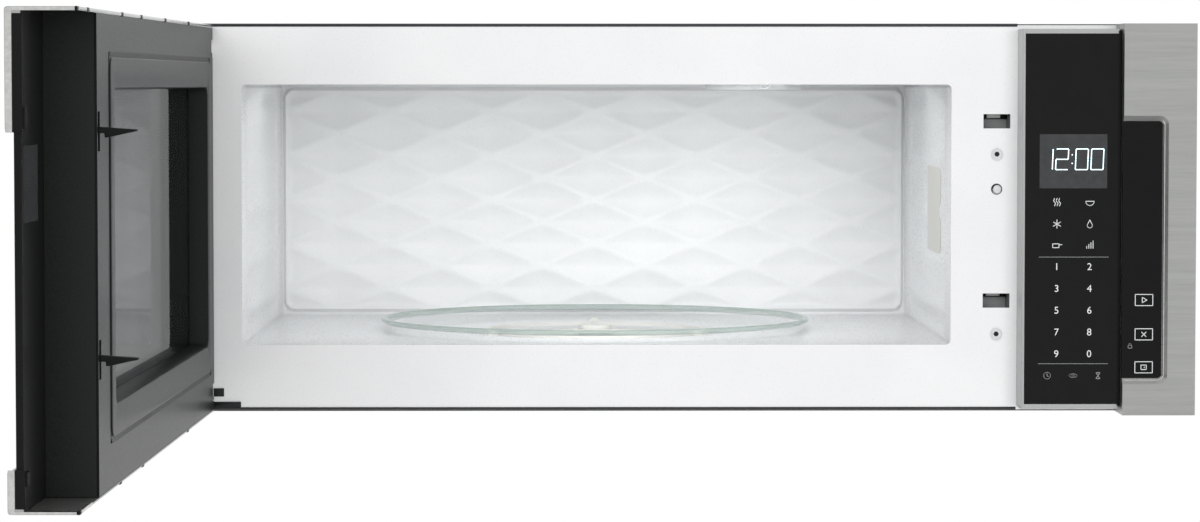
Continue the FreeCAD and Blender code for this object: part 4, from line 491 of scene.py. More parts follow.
def rib_height(y, z, room, sizes):
    """Stacked dished panels with round ends on a side wall, level with the back wall's diamonds."""
    from_front, from_rear, blend, rim, ridge = 26 * MM, 50 * MM, 16 * MM, 5 * MM, 0.2
    depth = smooth_step((y - room.front - from_front) / blend)
    depth *= smooth_step((room.rear - from_rear - y) / blend)
    half_tall = quilt_cell(room, sizes)[1]
    level = (z - (room.ceiling + room.floor) / 2) / (2 * half_tall)
    bowl = dish(abs(math.sin(math.pi * level)) * (1 + ridge) - ridge)
    edge = smooth_step((z - room.floor - rim) / rim)
    edge *= smooth_step((room.ceiling - rim - z) / rim)
    return sizes.rib_rise * (1 - bowl * depth * edge)


def beside_cover(y, z):
    """1 where the wave guide's cover lies on the right wall, 0 a little away from it."""
    margin, blend = 5 * MM, 3 * MM
    low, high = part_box("waveguide_cover")
    over = max(low.y - y, y - high.y, low.z - z, z - high.z)
    return smooth_step((margin - over) / blend)


def well_drop(x, y, room):
    """How far the turntable's well sinks below the oven floor."""
    radius, drop, wall, depth = 118 * MM, 6 * MM, 7 * MM, 190 * MM
    away = math.hypot(x - (room.left + room.right) / 2, y - FRONT - depth)
    return -drop * smooth_step((radius - away) / wall)


def liner_outline(room, sizes):
    """Points and inward directions round the mouth, from the floor's left end anticlockwise."""
    corner = sizes.corner
    left, right = room.left, room.right
    low, high = room.floor, room.ceiling
    sides = [
        ((left + corner, low), (right - corner, low), (0, 1), -90),
        ((right, low + corner), (right, high - corner), (-1, 0), 0),
        ((right - corner, high), (left + corner, high), (0, -1), 90),
        ((left, high - corner), (left, low + corner), (1, 0), 180),
    ]
    turn_centres = [(right - corner, low + corner), (right - corner, high - corner),
                    (left + corner, high - corner), (left + corner, low + corner)]
    outline = []
    for (start, end, inward, first_angle), centre in zip(sides, turn_centres):
        run = math.hypot(end[0] - start[0], end[1] - start[1])
        steps = max(2, round(run / sizes.step))
        for step in range(steps + 1):
            share = step / steps
            point = (start[0] + (end[0] - start[0]) * share, start[1] + (end[1] - start[1]) * share)
            outline.append((point, inward))
        for step in (1, 2, 3):
            angle = math.radians(first_angle + 22.5 * step)
            x, z = math.cos(angle), math.sin(angle)
            outline.append(((centre[0] + corner * x, centre[1] + corner * z), (-x, -z)))
    return outline


def liner_point(point, inward, y, room, sizes, inset):
    """A point on the liner's wall, pressed where the wall is, and drawn in by the heel near the back."""
    x, z = point
    rise, blend = inset, 14 * MM
    if abs(inward[0]) == 1:
        rise += rib_height(y, z, room, sizes) * smooth_step((y - room.front) / blend)
        if inward[0] < 0:
            rise *= 1 - beside_cover(y, z)
    if inward[1] == 1:
        rise += well_drop(x, y, room)
    return Vector((x + inward[0] * rise, y, z + inward[1] * rise))


class MICROWAVE_OT_liner(bpy.types.Operator):
    """Pressed and enamelled oven liner with its quilted back, ribbed sides and turntable well"""

    bl_idname = "microwave.liner"
    bl_label = "Oven liner"

    def execute(self, context):
        sizes = context.scene.microwave_liner
        room = liner_frame()
        mesh = bmesh.new()
        outline = liner_outline(room, sizes)
        lip = room.flange
        rows = [[Vector((p[0] - d[0] * lip, room.front, p[1] - d[1] * lip)) for p, d in outline]]
        rows.append([liner_point(p, d, room.front, room, sizes, 0) for p, d in outline])
        straight = room.rear - sizes.heel - room.front
        count = round(straight / sizes.step)
        for step in range(1, count + 1):
            y = room.front + straight * step / count
            rows.append([liner_point(p, d, y, room, sizes, 0) for p, d in outline])
        turns = 5
        for step in range(1, turns + 1):
            angle = math.radians(90 / turns * step)
            y = room.rear - sizes.heel * (1 - math.sin(angle))
            inset = sizes.heel * (1 - math.cos(angle))
            rows.append([liner_point(p, d, y, room, sizes, inset) for p, d in outline])
        net(mesh, rows, closed=True)
        self.make_back(mesh, room, sizes)
        piece = add_piece("pressed_liner", mesh, "liner", smooth=50)
        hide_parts("oven_cavity")
        return {"FINISHED"}

    def make_back(self, mesh, room, sizes):
        """Quilted back wall in a finer net, which ends inside the heel's curve and just behind it."""
        under, fine, behind = sizes.heel * 0.6, sizes.step * 0.42, 0.1 * MM
        low_x, high_x = room.left + under, room.right - under
        low_z, high_z = room.floor + under, room.ceiling - under
        across, up = round((high_x - low_x) / fine), round((high_z - low_z) / fine)
        rows = []
        for row in range(up + 1):
            z = low_z + (high_z - low_z) * row / up
            places = [low_x + (high_x - low_x) * column / across for column in range(across + 1)]
            rises = [quilt_height(x, z, room, sizes) for x in places]
            rows.append([Vector((x, room.rear - rise + behind, z)) for x, rise in zip(places, rises)])
        net(mesh, rows)


# ---------------------------------------------------------------- catches and hinge seats


def tidy_block(mesh, low, high, radius=0.3):
    """A small moulding with rounded edges between two corners, all in millimetres."""
    low, high = Vector(low) * MM, Vector(high) * MM
    made = bmesh.ops.create_cube(mesh, size=1.0)["verts"]
    bmesh.ops.scale(mesh, vec=high - low, verts=made)
    bmesh.ops.translate(mesh, vec=(low + high) / 2, verts=made)
    edges = [edge for edge in mesh.edges if edge.verts[0] in made]
    bmesh.ops.bevel(mesh, geom=edges, offset=radius * MM, segments=2, profile=0.5, affect="EDGES")


def add_blocks(name, blocks, finish, body="cabinet"):
    """A piece made of blocks for tidy_block; those of the door are given in the door's own frame."""
    mesh = bmesh.new()
    for block in blocks:
        tidy_block(mesh, *block)
    if body == "door":
        mesh.transform(door_turn())
    add_piece(name, mesh, finish, body, smooth=30)


def circle(radius, count):
    """Points round a circle about the origin."""
    return arc((0, 0), radius, 0, 360 * (count - 1) / count, count - 1)


def disc_rings(mesh, centre, rings, count=28):
    """A round face that looks along -Y, from rings of (radius, height above the plane), outermost first."""
    rows = [[centre + Vector((x, -rise, z)) * MM for x, z in circle(radius, count)] for radius, rise in rings]
    mesh.faces.new(net(mesh, rows, closed=True)[-1])


class MICROWAVE_OT_catches(bpy.types.Operator):
    """Levers behind the latch slots with painted shade at their ends, painted shade in the screw heads' drive
    recesses, the door sense stud with its painted shade ring, and the hinge's feet
    """

    bl_idname = "microwave.catches"
    bl_label = "Catches and hinge seats"

    def execute(self, context):
        front, base = FRONT / MM, BASE / MM
        self.make_levers(front + CATCH_DEPTH, base)
        self.make_screws(front, base)
        self.make_stud(front, base)
        self.make_hinge_feet(front, base)
        self.make_lips(front, base)
        return {"FINISHED"}

    def make_levers(self, behind, base):
        """A lever across each slot, a pale tab above it and a dark block at either side of the tab, painted
        shade of the slot's ends.
        """
        levers, tabs, corners = [], [], []
        for z in [base + height for height in SLOT_HEIGHTS]:
            levers.append(((CATCH_X - 10.1, behind, z - 9), (CATCH_X + 10.1, behind + 3, z + 0.6)))
            tabs.append(((CATCH_X - 5.2, behind - 1, z + 1.6), (CATCH_X + 5.2, behind + 2, z + 6.6)))
            # dark blocks beside each tab: painted shade in the ends of the slot
            for x in (CATCH_X - 8, CATCH_X + 8):
                corners.append(((x - 2.4, behind - 0.4, z + 1.2), (x + 2.4, behind + 2.4, z + 6.4)))
        add_blocks("latch_levers", levers, "lever_plastic")
        add_blocks("latch_tabs", tabs, "acetal")
        add_blocks("latch_slot_shade", corners, "dark_plastic")

    def make_screws(self, front, base):
        """A dark six-sided disc on each screw head, painted shade of its drive's recess, and a bright rim
        round it.
        """
        drive_shade, rims = bmesh.new(), bmesh.new()
        for height in SCREW_HEIGHTS:
            head = Vector((CATCH_X, front - SCREW_HEAD, base + height)) * MM
            # a dark disc just proud of the head: painted shade where the drive's recess is
            disc_rings(drive_shade, head, [(2.1, 0.02), (1.9, 0.08), (0.9, 0.03)], 6)
            disc_rings(rims, head, [(4.5, 0), (4.3, 0.3), (3.7, 0.35), (3.5, 0.1), (3.2, 0.02)])
        add_piece("screw_drive_shade", drive_shade, "black_steel")
        add_piece("screw_rims", rims, "screw_zinc", smooth=30)

    def make_stud(self, front, base):
        """Pale button of the door sense stud and a dark ring round it, painted shade of the gap it sits in.
        """
        gap_shade, button = bmesh.new(), bmesh.new()
        stud = Vector((CATCH_X, front - 0.05, base + STUD_HEIGHT)) * MM
        disc_rings(gap_shade, stud, [(4.3, 0), (4.2, 0.25), (3.6, 0.35), (3.3, 0.1)])
        # the button sits 0.35 mm to the right, so the dark ring is wider on its left: a painted shadow
        shade_offset = Vector((0.35, 0, 0)) * MM
        disc_rings(button, stud + shade_offset, [(3.2, 0.1), (3.1, 0.7), (2.7, 0.9), (1.2, 0.95)])
        add_piece("stud_gap_shade", gap_shade, "black_steel", smooth=30)
        add_piece("stud_button", button, "screw_zinc", smooth=30)

    def make_hinge_feet(self, front, base):
        """Dark steel ends of the hinge brackets where they lap on to the front plate."""
        out, back = front - 1.4, front + 0.4
        add_blocks("hinge_feet", [
            ((-371.5, out, base + 10.4), (-361, back, base + 16.8), 0.4),
            ((-369, out, base + 1.8), (-348, back, base + 6.4), 0.6),
            ((-372.2, out, base + 281), (-369, back, base + 288), 0.4),
        ], "black_steel")

    def make_lips(self, front, base):
        """Folded edges of the case over and under the front plate, the upper one grey instead of the case's
        black paint, a painted reflection along the top edge, and the housing's black edge.
        """
        out, back, left, right = front - 0.7, front + 0.5, -378, 248
        lower = ((left, out, base + 0.1), (right, back, base + 2.1), 0.3)
        # grey steel rather than the case's black paint: a painted reflection on the top fold
        top_fold_reflection = ((left, out, base + 294.2), (right, back, base + 296.6), 0.5)
        add_blocks("base_lip", [lower], "case_paint")
        add_blocks("case_lip_painted_reflection", [top_fold_reflection], "core_steel")
        edge, face = PANEL_EDGE.x / MM, PANEL_FACE.y / MM
        side = ((edge - 0.2, face - 0.25, base + 5.4), (edge + 2.4, face + 4, base + 290.8), 0.4)
        add_blocks("housing_edge", [side], "dark_plastic")


# ---------------------------------------------------------------- latch, tray and door trim


def door_turn():
    """From the door's own frame, where it is shut and starts at its pivot, to where it stands at rest."""
    hinge = next(joint for joint in frame["joints"] if joint["name"] == "door_hinge")
    return Matrix.Translation(hinge["pos_m"]) @ Matrix.Rotation(-math.radians(hinge["range_deg"][1]), 4, "Z")


def door_span(name):
    """Low and high corner of one of the door's nodes, in the door's own frame and in millimetres."""
    shut = door_turn().inverted()
    points = [shut @ vertex.co / MM for vertex in frame["nodes"][name].data.vertices]
    return [Vector([pick(point[axis] for point in points) for axis in range(3)]) for pick in (min, max)]


def inset_loop(ring, inset, radius, y):
    """A ring in the door's own frame drawn in by an inset, its corners rounded; from mm to metres."""
    reach = inset + radius
    x0, x1, z0, z1 = [edge + sign * reach for edge, sign in zip(ring, (1, -1, 1, -1))]
    loop = []
    for centre, start in (((x1, z0), -90), ((x1, z1), 0), ((x0, z1), 90), ((x0, z0), 180)):
        loop += [Vector((x, y, z)) * MM for x, z in arc(centre, radius, start, start + 90, 6)]
    return loop


class MICROWAVE_OT_latch(bpy.types.Operator):
    """Sliding latch bar in the door with its two slim hooks"""

    bl_idname = "microwave.latch"
    bl_label = "Latch bar"

    def execute(self, context):
        low, high = door_span("latch_hooks")
        inner = door_span("door_skin")[1].y
        mesh = bmesh.new()
        for height in SLOT_HEIGHTS:
            outline = self.hook_outline(BASE / MM + height, inner)
            side = mesh.faces.new([mesh.verts.new(Vector((low.x, y, z)) * MM) for y, z in outline])
            pushed = bmesh.ops.extrude_face_region(mesh, geom=[side])["geom"]
            far = [item for item in pushed if isinstance(item, bmesh.types.BMVert)]
            bmesh.ops.translate(mesh, vec=Vector((high.x - low.x, 0, 0)) * MM, verts=far)
        bmesh.ops.recalc_face_normals(mesh, faces=mesh.faces)
        bmesh.ops.bevel(mesh, geom=mesh.edges[:], offset=0.35 * MM, segments=2, profile=0.5, affect="EDGES")
        bar_front, bar_back = -19, -14
        tidy_block(mesh, (low.x, bar_front, low.z), (high.x, bar_back, high.z), 0.5)
        mesh.transform(door_turn())
        piece = add_piece("latch_bar", mesh, "dark_plastic", "latch", smooth=30)
        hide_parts("latch_hooks")
        return {"FINISHED"}

    def hook_outline(self, middle, inner):
        """One hook from the side, from under its root round its barb and tip and back over it."""
        root = -15
        barb = [(0, -1.9), (3.6, -1.8), (3.9, -4.6), (7, -4.2)]
        tip = [(19, -1.5), (23.6, -0.5), (23.6, 0.4), (5, 1.7)]
        outline = [(inner + out, middle + up) for out, up in barb + tip]
        return [(root, middle - 3.6), *outline, (root, middle + 3.6)]


class MICROWAVE_OT_tray(bpy.types.Operator):
    """Turned glass tray, clear across its floor and green where its rolled rim is seen edge on"""

    bl_idname = "microwave.tray"
    bl_label = "Glass tray"

    def execute(self, context):
        low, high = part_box("turntable_glass")
        foot = Vector(((low.x + high.x) / 2, (low.y + high.y) / 2, low.z))
        radius, top = (high.x - low.x) / 2 / MM, (high.z - low.z) / MM
        seam = (radius - 4.5, top - 1.2)
        plate = [seam, (radius - 9, top - 2.8), (radius - 20, 2.9), (12, 2.9)]
        rim = [seam, (radius - 3, top), (radius - 0.8, top - 0.2), (radius, top - 1.6),
               (radius - 0.6, top - 3.2), (radius - 3, top - 4.4), (radius - 7, top - 4.8)]
        for name, profile, finish in (("tray_plate", plate, "tray_glass"), ("tray_rim", rim, "tray_edge")):
            mesh = bmesh.new()
            rows = [[foot + Vector((x, y, up)) * MM for x, y in circle(out, 160)] for out, up in profile]
            grid = net(mesh, rows, closed=True)
            if name == "tray_plate":
                mesh.faces.new(grid[-1])
            piece = add_piece(name, mesh, finish, "turntable", smooth=60)
            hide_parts("turntable_glass")
        return {"FINISHED"}


class MICROWAVE_OT_door_trim(bpy.types.Operator):
    """Choke panel with its round-cornered window, the skin's folded hems, its clips and edge guards"""

    bl_idname = "microwave.door_trim"
    bl_label = "Door trim"

    def execute(self, context):
        low, high = door_span("door_skin")
        self.make_panel(high.y)
        self.make_hems(low, high, context.scene.microwave_door.hem / MM)
        self.make_guards(low, high)
        return {"FINISHED"}

    def make_panel(self, inner):
        """Raised panel, rolled over at its rim and down into the window, and a dark ring round it, painted
        shade in the groove.
        """
        panel = [
            (PANEL_RING, 0, 8, -1.1), (PANEL_RING, 0.2, 8, 0.3), (PANEL_RING, 0.9, 7.4, 0.8),
            (PANEL_RING, 2.2, 7, 0.9), (WINDOW_RING, -1.2, 8, 0.9), (WINDOW_RING, -0.2, 8, 0.6),
            (WINDOW_RING, 0.4, 7.6, -0.4), (WINDOW_RING, 1.2, 7, -13.6),
        ]
        # a flat dark ring in the groove: painted shade
        groove = [(PANEL_RING, -3.4, 11, 0.06), (PANEL_RING, -2.8, 10.6, -0.05), (PANEL_RING, -0.1, 8, -0.3)]
        for name, loops, finish in (("choke_panel", panel, "door_plastic"),
                                    ("groove_shadow", groove, "dark_plastic")):
            mesh = bmesh.new()
            rows = [inset_loop(ring, inset, radius, inner + out) for ring, inset, radius, out in loops]
            net(mesh, rows, closed=True)
            mesh.transform(door_turn())
            add_piece(name, mesh, finish, "door", smooth=30)

    def make_hems(self, low, high, hem):
        """Bright folded edges of the skin over the free end, the top and the lower corner, and dark clips."""
        free, face, inner, base, top = high.x, low.y, high.y, low.z, high.z
        add_blocks("skin_hems", [
            ((free - 5, face + 1, top - hem), (free + 0.35, inner - 0.2, top), 0.8),
            ((free - 5, face + 1, base), (free + 0.35, inner - 1, base + hem * 0.75), 0.8),
            ((5, inner - 0.6, top - hem * 0.9), (free - 1, inner + 0.7, top), 0.5),
            ((free - 50, inner - 0.6, base), (free - 1, inner + 0.7, base + 2.2), 0.5),
            ((free - 1.2, face + 0.1, top - RETURN_UPPER), (free + 0.45, face + 4.4, top - 1), 0.6),
            ((free - 1.2, face + 0.1, base + 1), (free + 0.45, face + 4.4, base + RETURN_LOWER), 0.6),
        ], "polished_steel", "door")
        clips = [((free - across - 4, inner - 0.4, top - hem), (free - across + 4, inner + 0.95, top + 0.1))
                 for across in CLIPS_UPPER]
        clips += [((free - across - 4, inner - 3, base - 0.8), (free - across + 4, inner + 0.3, base + 0.6))
                  for across in CLIPS_LOWER]
        clips += [((free - 6, inner - 0.6, top - hem), (free + 0.6, inner + 0.9, top + 0.1)),
                  ((free - 5, inner - 1.6, base - 0.1), (free + 0.7, inner + 1, base + 2.4), 0.9)]
        add_blocks("skin_clips", clips, "dark_plastic", "door")

    def make_guards(self, low, high):
        """Dark corner guards over the skin's return, and the seam down the cover's edge."""
        free, near, far, inner = high.x, low.y + 4.4, low.y + 10.4, high.y
        add_blocks("edge_guards", [
            ((free - 1, near, high.z - RETURN_UPPER), (free + 0.5, far, high.z - 4), 0.4),
            ((free - 1, near, low.z + 3.2), (free + 0.5, far, low.z + RETURN_LOWER + 0.5), 0.4),
            ((COVER_END - 0.5, inner - 1.4, low.z + 2), (COVER_END + 0.4, inner + 0.1, high.z - 2), 0.2),
        ], "dark_plastic", "door")


class MICROWAVE_OT_touch_bezel(bpy.types.Operator):
    """Rolled lip where the end trim turns in to the touch strip's glass, in brighter polished steel along its
    right and lower edges only: a painted highlight
    """

    bl_idname = "microwave.touch_bezel"
    bl_label = "Touch bezel"

    def execute(self, context):
        out, radius, sunk = 1.4 * MM, 4.4 * MM, 2.3 * MM
        right, bottom, top = STRIP_EDGE.x + out, STRIP_FACE.z - out, STRIP_EDGE.z + out
        # only the right and lower edges and the start of the top corner get the lip, where the bevel shows a
        # highlight; its brighter steel is a painted highlight
        path = [(STRIP_FACE.x + 1 * MM, bottom)]
        path += arc((right - radius, bottom + radius), radius, -90, 0, 6)
        path += arc((right - radius, top - radius), radius, 0, 50, 4)
        curve = bpy.data.curves.new("touch_bezel", "CURVE")
        curve.dimensions = "3D"
        curve.bevel_depth = 0.75 * MM
        curve.bevel_resolution = 3
        curve.use_fill_caps = True
        line = curve.splines.new("POLY")
        line.points.add(len(path) - 1)
        for point, (x, z) in zip(line.points, path):
            point.co = (x, STRIP_FACE.y - sunk, z, 1)
        curve.materials.append(FINISHES["polished_steel"])
        lip = bpy.data.objects.new("touch_bezel", curve)
        bpy.context.scene.collection.objects.link(lip)
        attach(lip, "cabinet")
        return {"FINISHED"}


# ---------------------------------------------------------------- printing


SEGMENTS = {
    "0": "abcdef", "1": "bc", "2": "abged", "3": "abgcd", "4": "fgbc",
    "5": "afgcd", "6": "afgedc", "7": "abc", "8": "abcdefg", "9": "abcdfg",
}
CLOCK_TIME = "12:00"
# how far a digit leans to the right for each unit of its height
CLOCK_LEAN = 0.04
# millimetres, across from the glass's left edge and up from the case's base
CLOCK_PLACES = {0: 11.4, 1: 23.2, 3: 38.2, 4: 50.0}
CLOCK_FOOT = 185.4
CLOCK_WINDOW = ((11.1, 171.2), (62.5, 212.3))
COLON_ACROSS = 35.8
COLON_HEIGHTS = (190, 196.5)
DIGIT_ROWS = ("12", "34", "56", "78", "90")
SYMBOL_ROWS = {160.7: ("steam", "bowl"), 144.0: ("flake", "drop"), 128.0: ("pan", "bars")}
FAINT_SYMBOLS = {17.6: "clock", 37.4: "plate", 56.4: "glass"}
FAINT_HEIGHT = 28.5
RULE_HEIGHTS = (118.9, 37.6)
RULE_ENDS = (10.8, 63.9)
TOUCH_KEYS = {86.6: "play", 60.5: "cross", 35.4: "shelf"}
TOUCH_ACROSS = 16.7
LOCK_PLACE = (6.2, 51.8)
LOCK_SIZE = 4.6


def clock_segments(sizes):
    """The seven bars of a clock digit, each from its start to its end."""
    wide, tall = sizes.segment_width, sizes.segment_height
    gap = sizes.segment_stroke * 0.62
    return {
        "a": ((gap, tall), (wide - gap, tall)),
        "b": ((wide, tall - gap), (wide, tall / 2 + gap)),
        "c": ((wide, tall / 2 - gap), (wide, gap)),
        "d": ((gap, 0), (wide - gap, 0)),
        "e": ((0, tall / 2 - gap), (0, gap)),
        "f": ((0, tall - gap), (0, tall / 2 + gap)),
        "g": ((gap, tall / 2), (wide - gap, tall / 2)),
    }


def rectangle(x0, x1, z0, z1):
    """A rectangle's outline, back to where it starts."""
    return [(x0, z0), (x1, z0), (x1, z1), (x0, z1), (x0, z0)]


def symbol_lines():
    """Plain pictures for the keys, as lines in a unit square."""
    drop = arc((0, -0.15), 0.3, -220, 40, 14)
    oval = arc((0, 0), 1, 0, 360, 24)
    hub = arc((0, 0), 1, 0, 360, 16)
    spokes = [(math.cos(math.radians(turn)) / 2, math.sin(math.radians(turn)) / 2) for turn in (90, 30, 150)]
    return {
        "steam": [[(x, -0.45), (x + 0.12, -0.15), (x - 0.12, 0.15), (x, 0.45)] for x in (-0.3, 0, 0.3)],
        "flake": [[(x, z), (-x, -z)] for x, z in spokes],
        "bowl": [arc((0, 0.1), 0.5, 180, 360, 14) + [(-0.5, 0.1)]],
        "drop": [drop + [(0, 0.5), drop[0]]],
        "pan": [rectangle(-0.5, 0.25, -0.3, 0.15), [(0.25, 0.05), (0.6, 0.05)]],
        "bars": [[(x, -0.4), (x, top)] for x, top in ((-0.35, -0.15), (-0.1, 0.1), (0.15, 0.3), (0.4, 0.5))],
        "clock": [arc((0, 0), 0.5, 0, 360, 24), [(0, 0.3), (0, 0), (0.2, -0.12)]],
        "plate": [[(0.6 * x, 0.26 * z) for x, z in oval], [(0.22 * x, 0.1 * z) for x, z in hub]],
        "glass": [[(-0.3, 0.45), (0.3, 0.45), (-0.3, -0.45), (0.3, -0.45), (-0.3, 0.45)]],
        "play": [[(-0.16, 0.24), (-0.16, -0.24), (0.26, 0), (-0.16, 0.24)]],
        "cross": [[(-0.2, -0.2), (0.2, 0.2)], [(-0.2, 0.2), (0.2, -0.2)]],
        "shelf": [rectangle(-0.24, 0.24, -0.2, 0.2), [(0.06, 0.04), (0.06, -0.04)]],
        "lock": [rectangle(-0.3, 0.3, -0.4, 0.1), [(-0.2, 0.1), *arc((0, 0.22), 0.2, 180, 0, 8), (0.2, 0.1)]],
    }


def print_stroke(mesh, path, width, face_y):
    """A line of even width with round ends, printed on a face that looks along -Y."""
    half = width / 2
    dot = arc((0, 0), half, 0, 315, 7)
    for start, end in zip(path, path[1:]):
        run = Vector((end[0] - start[0], end[1] - start[1]))
        side = Vector((-run.y, run.x)).normalized() * half
        corners = [(start[0] - side.x, start[1] - side.y), (end[0] - side.x, end[1] - side.y),
                   (end[0] + side.x, end[1] + side.y), (start[0] + side.x, start[1] + side.y)]
        mesh.faces.new([mesh.verts.new((x, face_y, z)) for x, z in corners])
    for x, z in path:
        mesh.faces.new([mesh.verts.new((x + across, face_y, z + up)) for across, up in dot])


def draw(mesh, lines, origin, size, width, face_y):
    """Print a symbol's lines, scaled from the unit square and put at a place."""
    for line in lines:
        print_stroke(mesh, [(origin[0] + x * size, origin[1] + z * size) for x, z in line], width, face_y)


def panel_point(across, height):
    """A place on the control glass, from its left edge and from the case's base, in metres."""
    return PANEL_FACE.x + across, BASE + height


def add_digits(sizes):
    """The ten printed digits, from Blender's own plain type, which draws them 0.7 of its size."""
    mesh = bmesh.new()
    for row, digits in enumerate(DIGIT_ROWS):
        for digit, column in zip(digits, (sizes.column_left, sizes.column_right)):
            curve = bpy.data.curves.new("digit", "FONT")
            curve.body = digit
            curve.size = sizes.digit_height / 0.7
            curve.align_x = "CENTER"
            curve.align_y = "CENTER"
            holder = bpy.data.objects.new("digit", curve)
            flat = bpy.data.meshes.new_from_object(holder)
            x, z = panel_point(column, sizes.first_row - row * sizes.row_pitch)
            place = Matrix.Translation((x, PANEL_FACE.y - PRINT_GAP, z))
            flat.transform(place @ Matrix.Rotation(math.pi / 2, 4, "X"))
            mesh.from_mesh(flat)
            bpy.data.objects.remove(holder)
            bpy.data.curves.remove(curve)
    add_piece("key_digits", mesh, "print")


class MICROWAVE_OT_printing(bpy.types.Operator):
    """Printed digits, symbols, lines and touch keys, with the lit clock in its window"""

    bl_idname = "microwave.printing"
    bl_label = "Printing"

    def execute(self, context):
        sizes, symbols = context.scene.microwave_printing, symbol_lines()
        add_digits(sizes)
        self.print_symbols(sizes, symbols, PANEL_FACE.y - PRINT_GAP)
        self.print_clock(sizes, PANEL_FACE.y - PRINT_GAP)
        self.print_strip(sizes, symbols, STRIP_FACE.y - PRINT_GAP)
        return {"FINISHED"}

    def print_symbols(self, sizes, symbols, face):
        """Key symbols above the digits, and in fainter ink the ones below them and two rules."""
        mesh = bmesh.new()
        for height, pair in SYMBOL_ROWS.items():
            for name, column in zip(pair, (sizes.column_left, sizes.column_right)):
                draw(mesh, symbols[name], panel_point(column, height * MM), sizes.symbol, sizes.stroke, face)
        add_piece("key_symbols", mesh, "print")
        mesh = bmesh.new()
        for across, name in FAINT_SYMBOLS.items():
            origin = panel_point(across * MM, FAINT_HEIGHT * MM)
            draw(mesh, symbols[name], origin, sizes.symbol * 0.8, sizes.stroke * 0.9, face)
        for height in RULE_HEIGHTS:
            rule = [panel_point(across * MM, height * MM) for across in RULE_ENDS]
            print_stroke(mesh, rule, sizes.stroke * 0.6, face)
        add_piece("faint_symbols", mesh, "faint_print")

    def print_clock(self, sizes, face):
        """A smoked window between the glass and the print, and the lit clock, which leans a little."""
        mesh = bmesh.new()
        (left, low), (right, high) = [panel_point(across * MM, up * MM) for across, up in CLOCK_WINDOW]
        behind = PANEL_FACE.y - PRINT_GAP / 2
        mesh.faces.new([mesh.verts.new((x, behind, z)) for x, z in rectangle(left, right, low, high)[:4]])
        add_piece("clock_window", mesh, "display_window")
        mesh, bars = bmesh.new(), clock_segments(sizes)
        for place, across in CLOCK_PLACES.items():
            left, foot = panel_point(across * MM, CLOCK_FOOT * MM)
            for bar in SEGMENTS[CLOCK_TIME[place]]:
                line = [(left + x + z * CLOCK_LEAN, foot + z) for x, z in bars[bar]]
                print_stroke(mesh, line, sizes.segment_stroke, face)
        for height in COLON_HEIGHTS:
            x, z = panel_point(COLON_ACROSS * MM, height * MM)
            print_stroke(mesh, [(x, z), (x, z + 0.3 * MM)], sizes.segment_stroke, face)
        add_piece("clock_digits", mesh, "clock_light")

    def print_strip(self, sizes, symbols, face):
        """Three outlined keys down the touch strip and a small lock beside them."""
        mesh, x = bmesh.new(), STRIP_FACE.x + TOUCH_ACROSS * MM
        wide, tall = sizes.key_width / 2, sizes.key_height / 2
        for height, name in TOUCH_KEYS.items():
            z = BASE + height * MM
            print_stroke(mesh, rectangle(x - wide, x + wide, z - tall, z + tall), sizes.stroke, face)
            draw(mesh, symbols[name], (x, z), sizes.key_height, sizes.stroke, face)
        add_piece("touch_keys", mesh, "print")
        mesh = bmesh.new()
        origin = (STRIP_FACE.x + LOCK_PLACE[0] * MM, BASE + LOCK_PLACE[1] * MM)
        draw(mesh, symbols["lock"], origin, LOCK_SIZE * MM, sizes.stroke * 0.7, face)
        add_piece("lock_symbol", mesh, "faint_print")


# ---------------------------------------------------------------- finishes of the CAD nodes


class MICROWAVE_OT_finishes(bpy.types.Operator):
    """Finishes of every CAD node that shows as it is"""

    bl_idname = "microwave.finishes"
    bl_label = "Finishes"

    def execute(self, context):
        FINISHES.update(make_materials(context.scene.microwave_colours))
        for finish, names in NODE_FINISH.items():
            for name in names:
                node = frame["nodes"][name]
                if not node.material_slots:
                    node.data.materials.append(FINISHES[finish])
                for entry in node.material_slots:
                    entry.material = FINISHES[finish]
        return {"FINISHED"}


# ---------------------------------------------------------------- stage


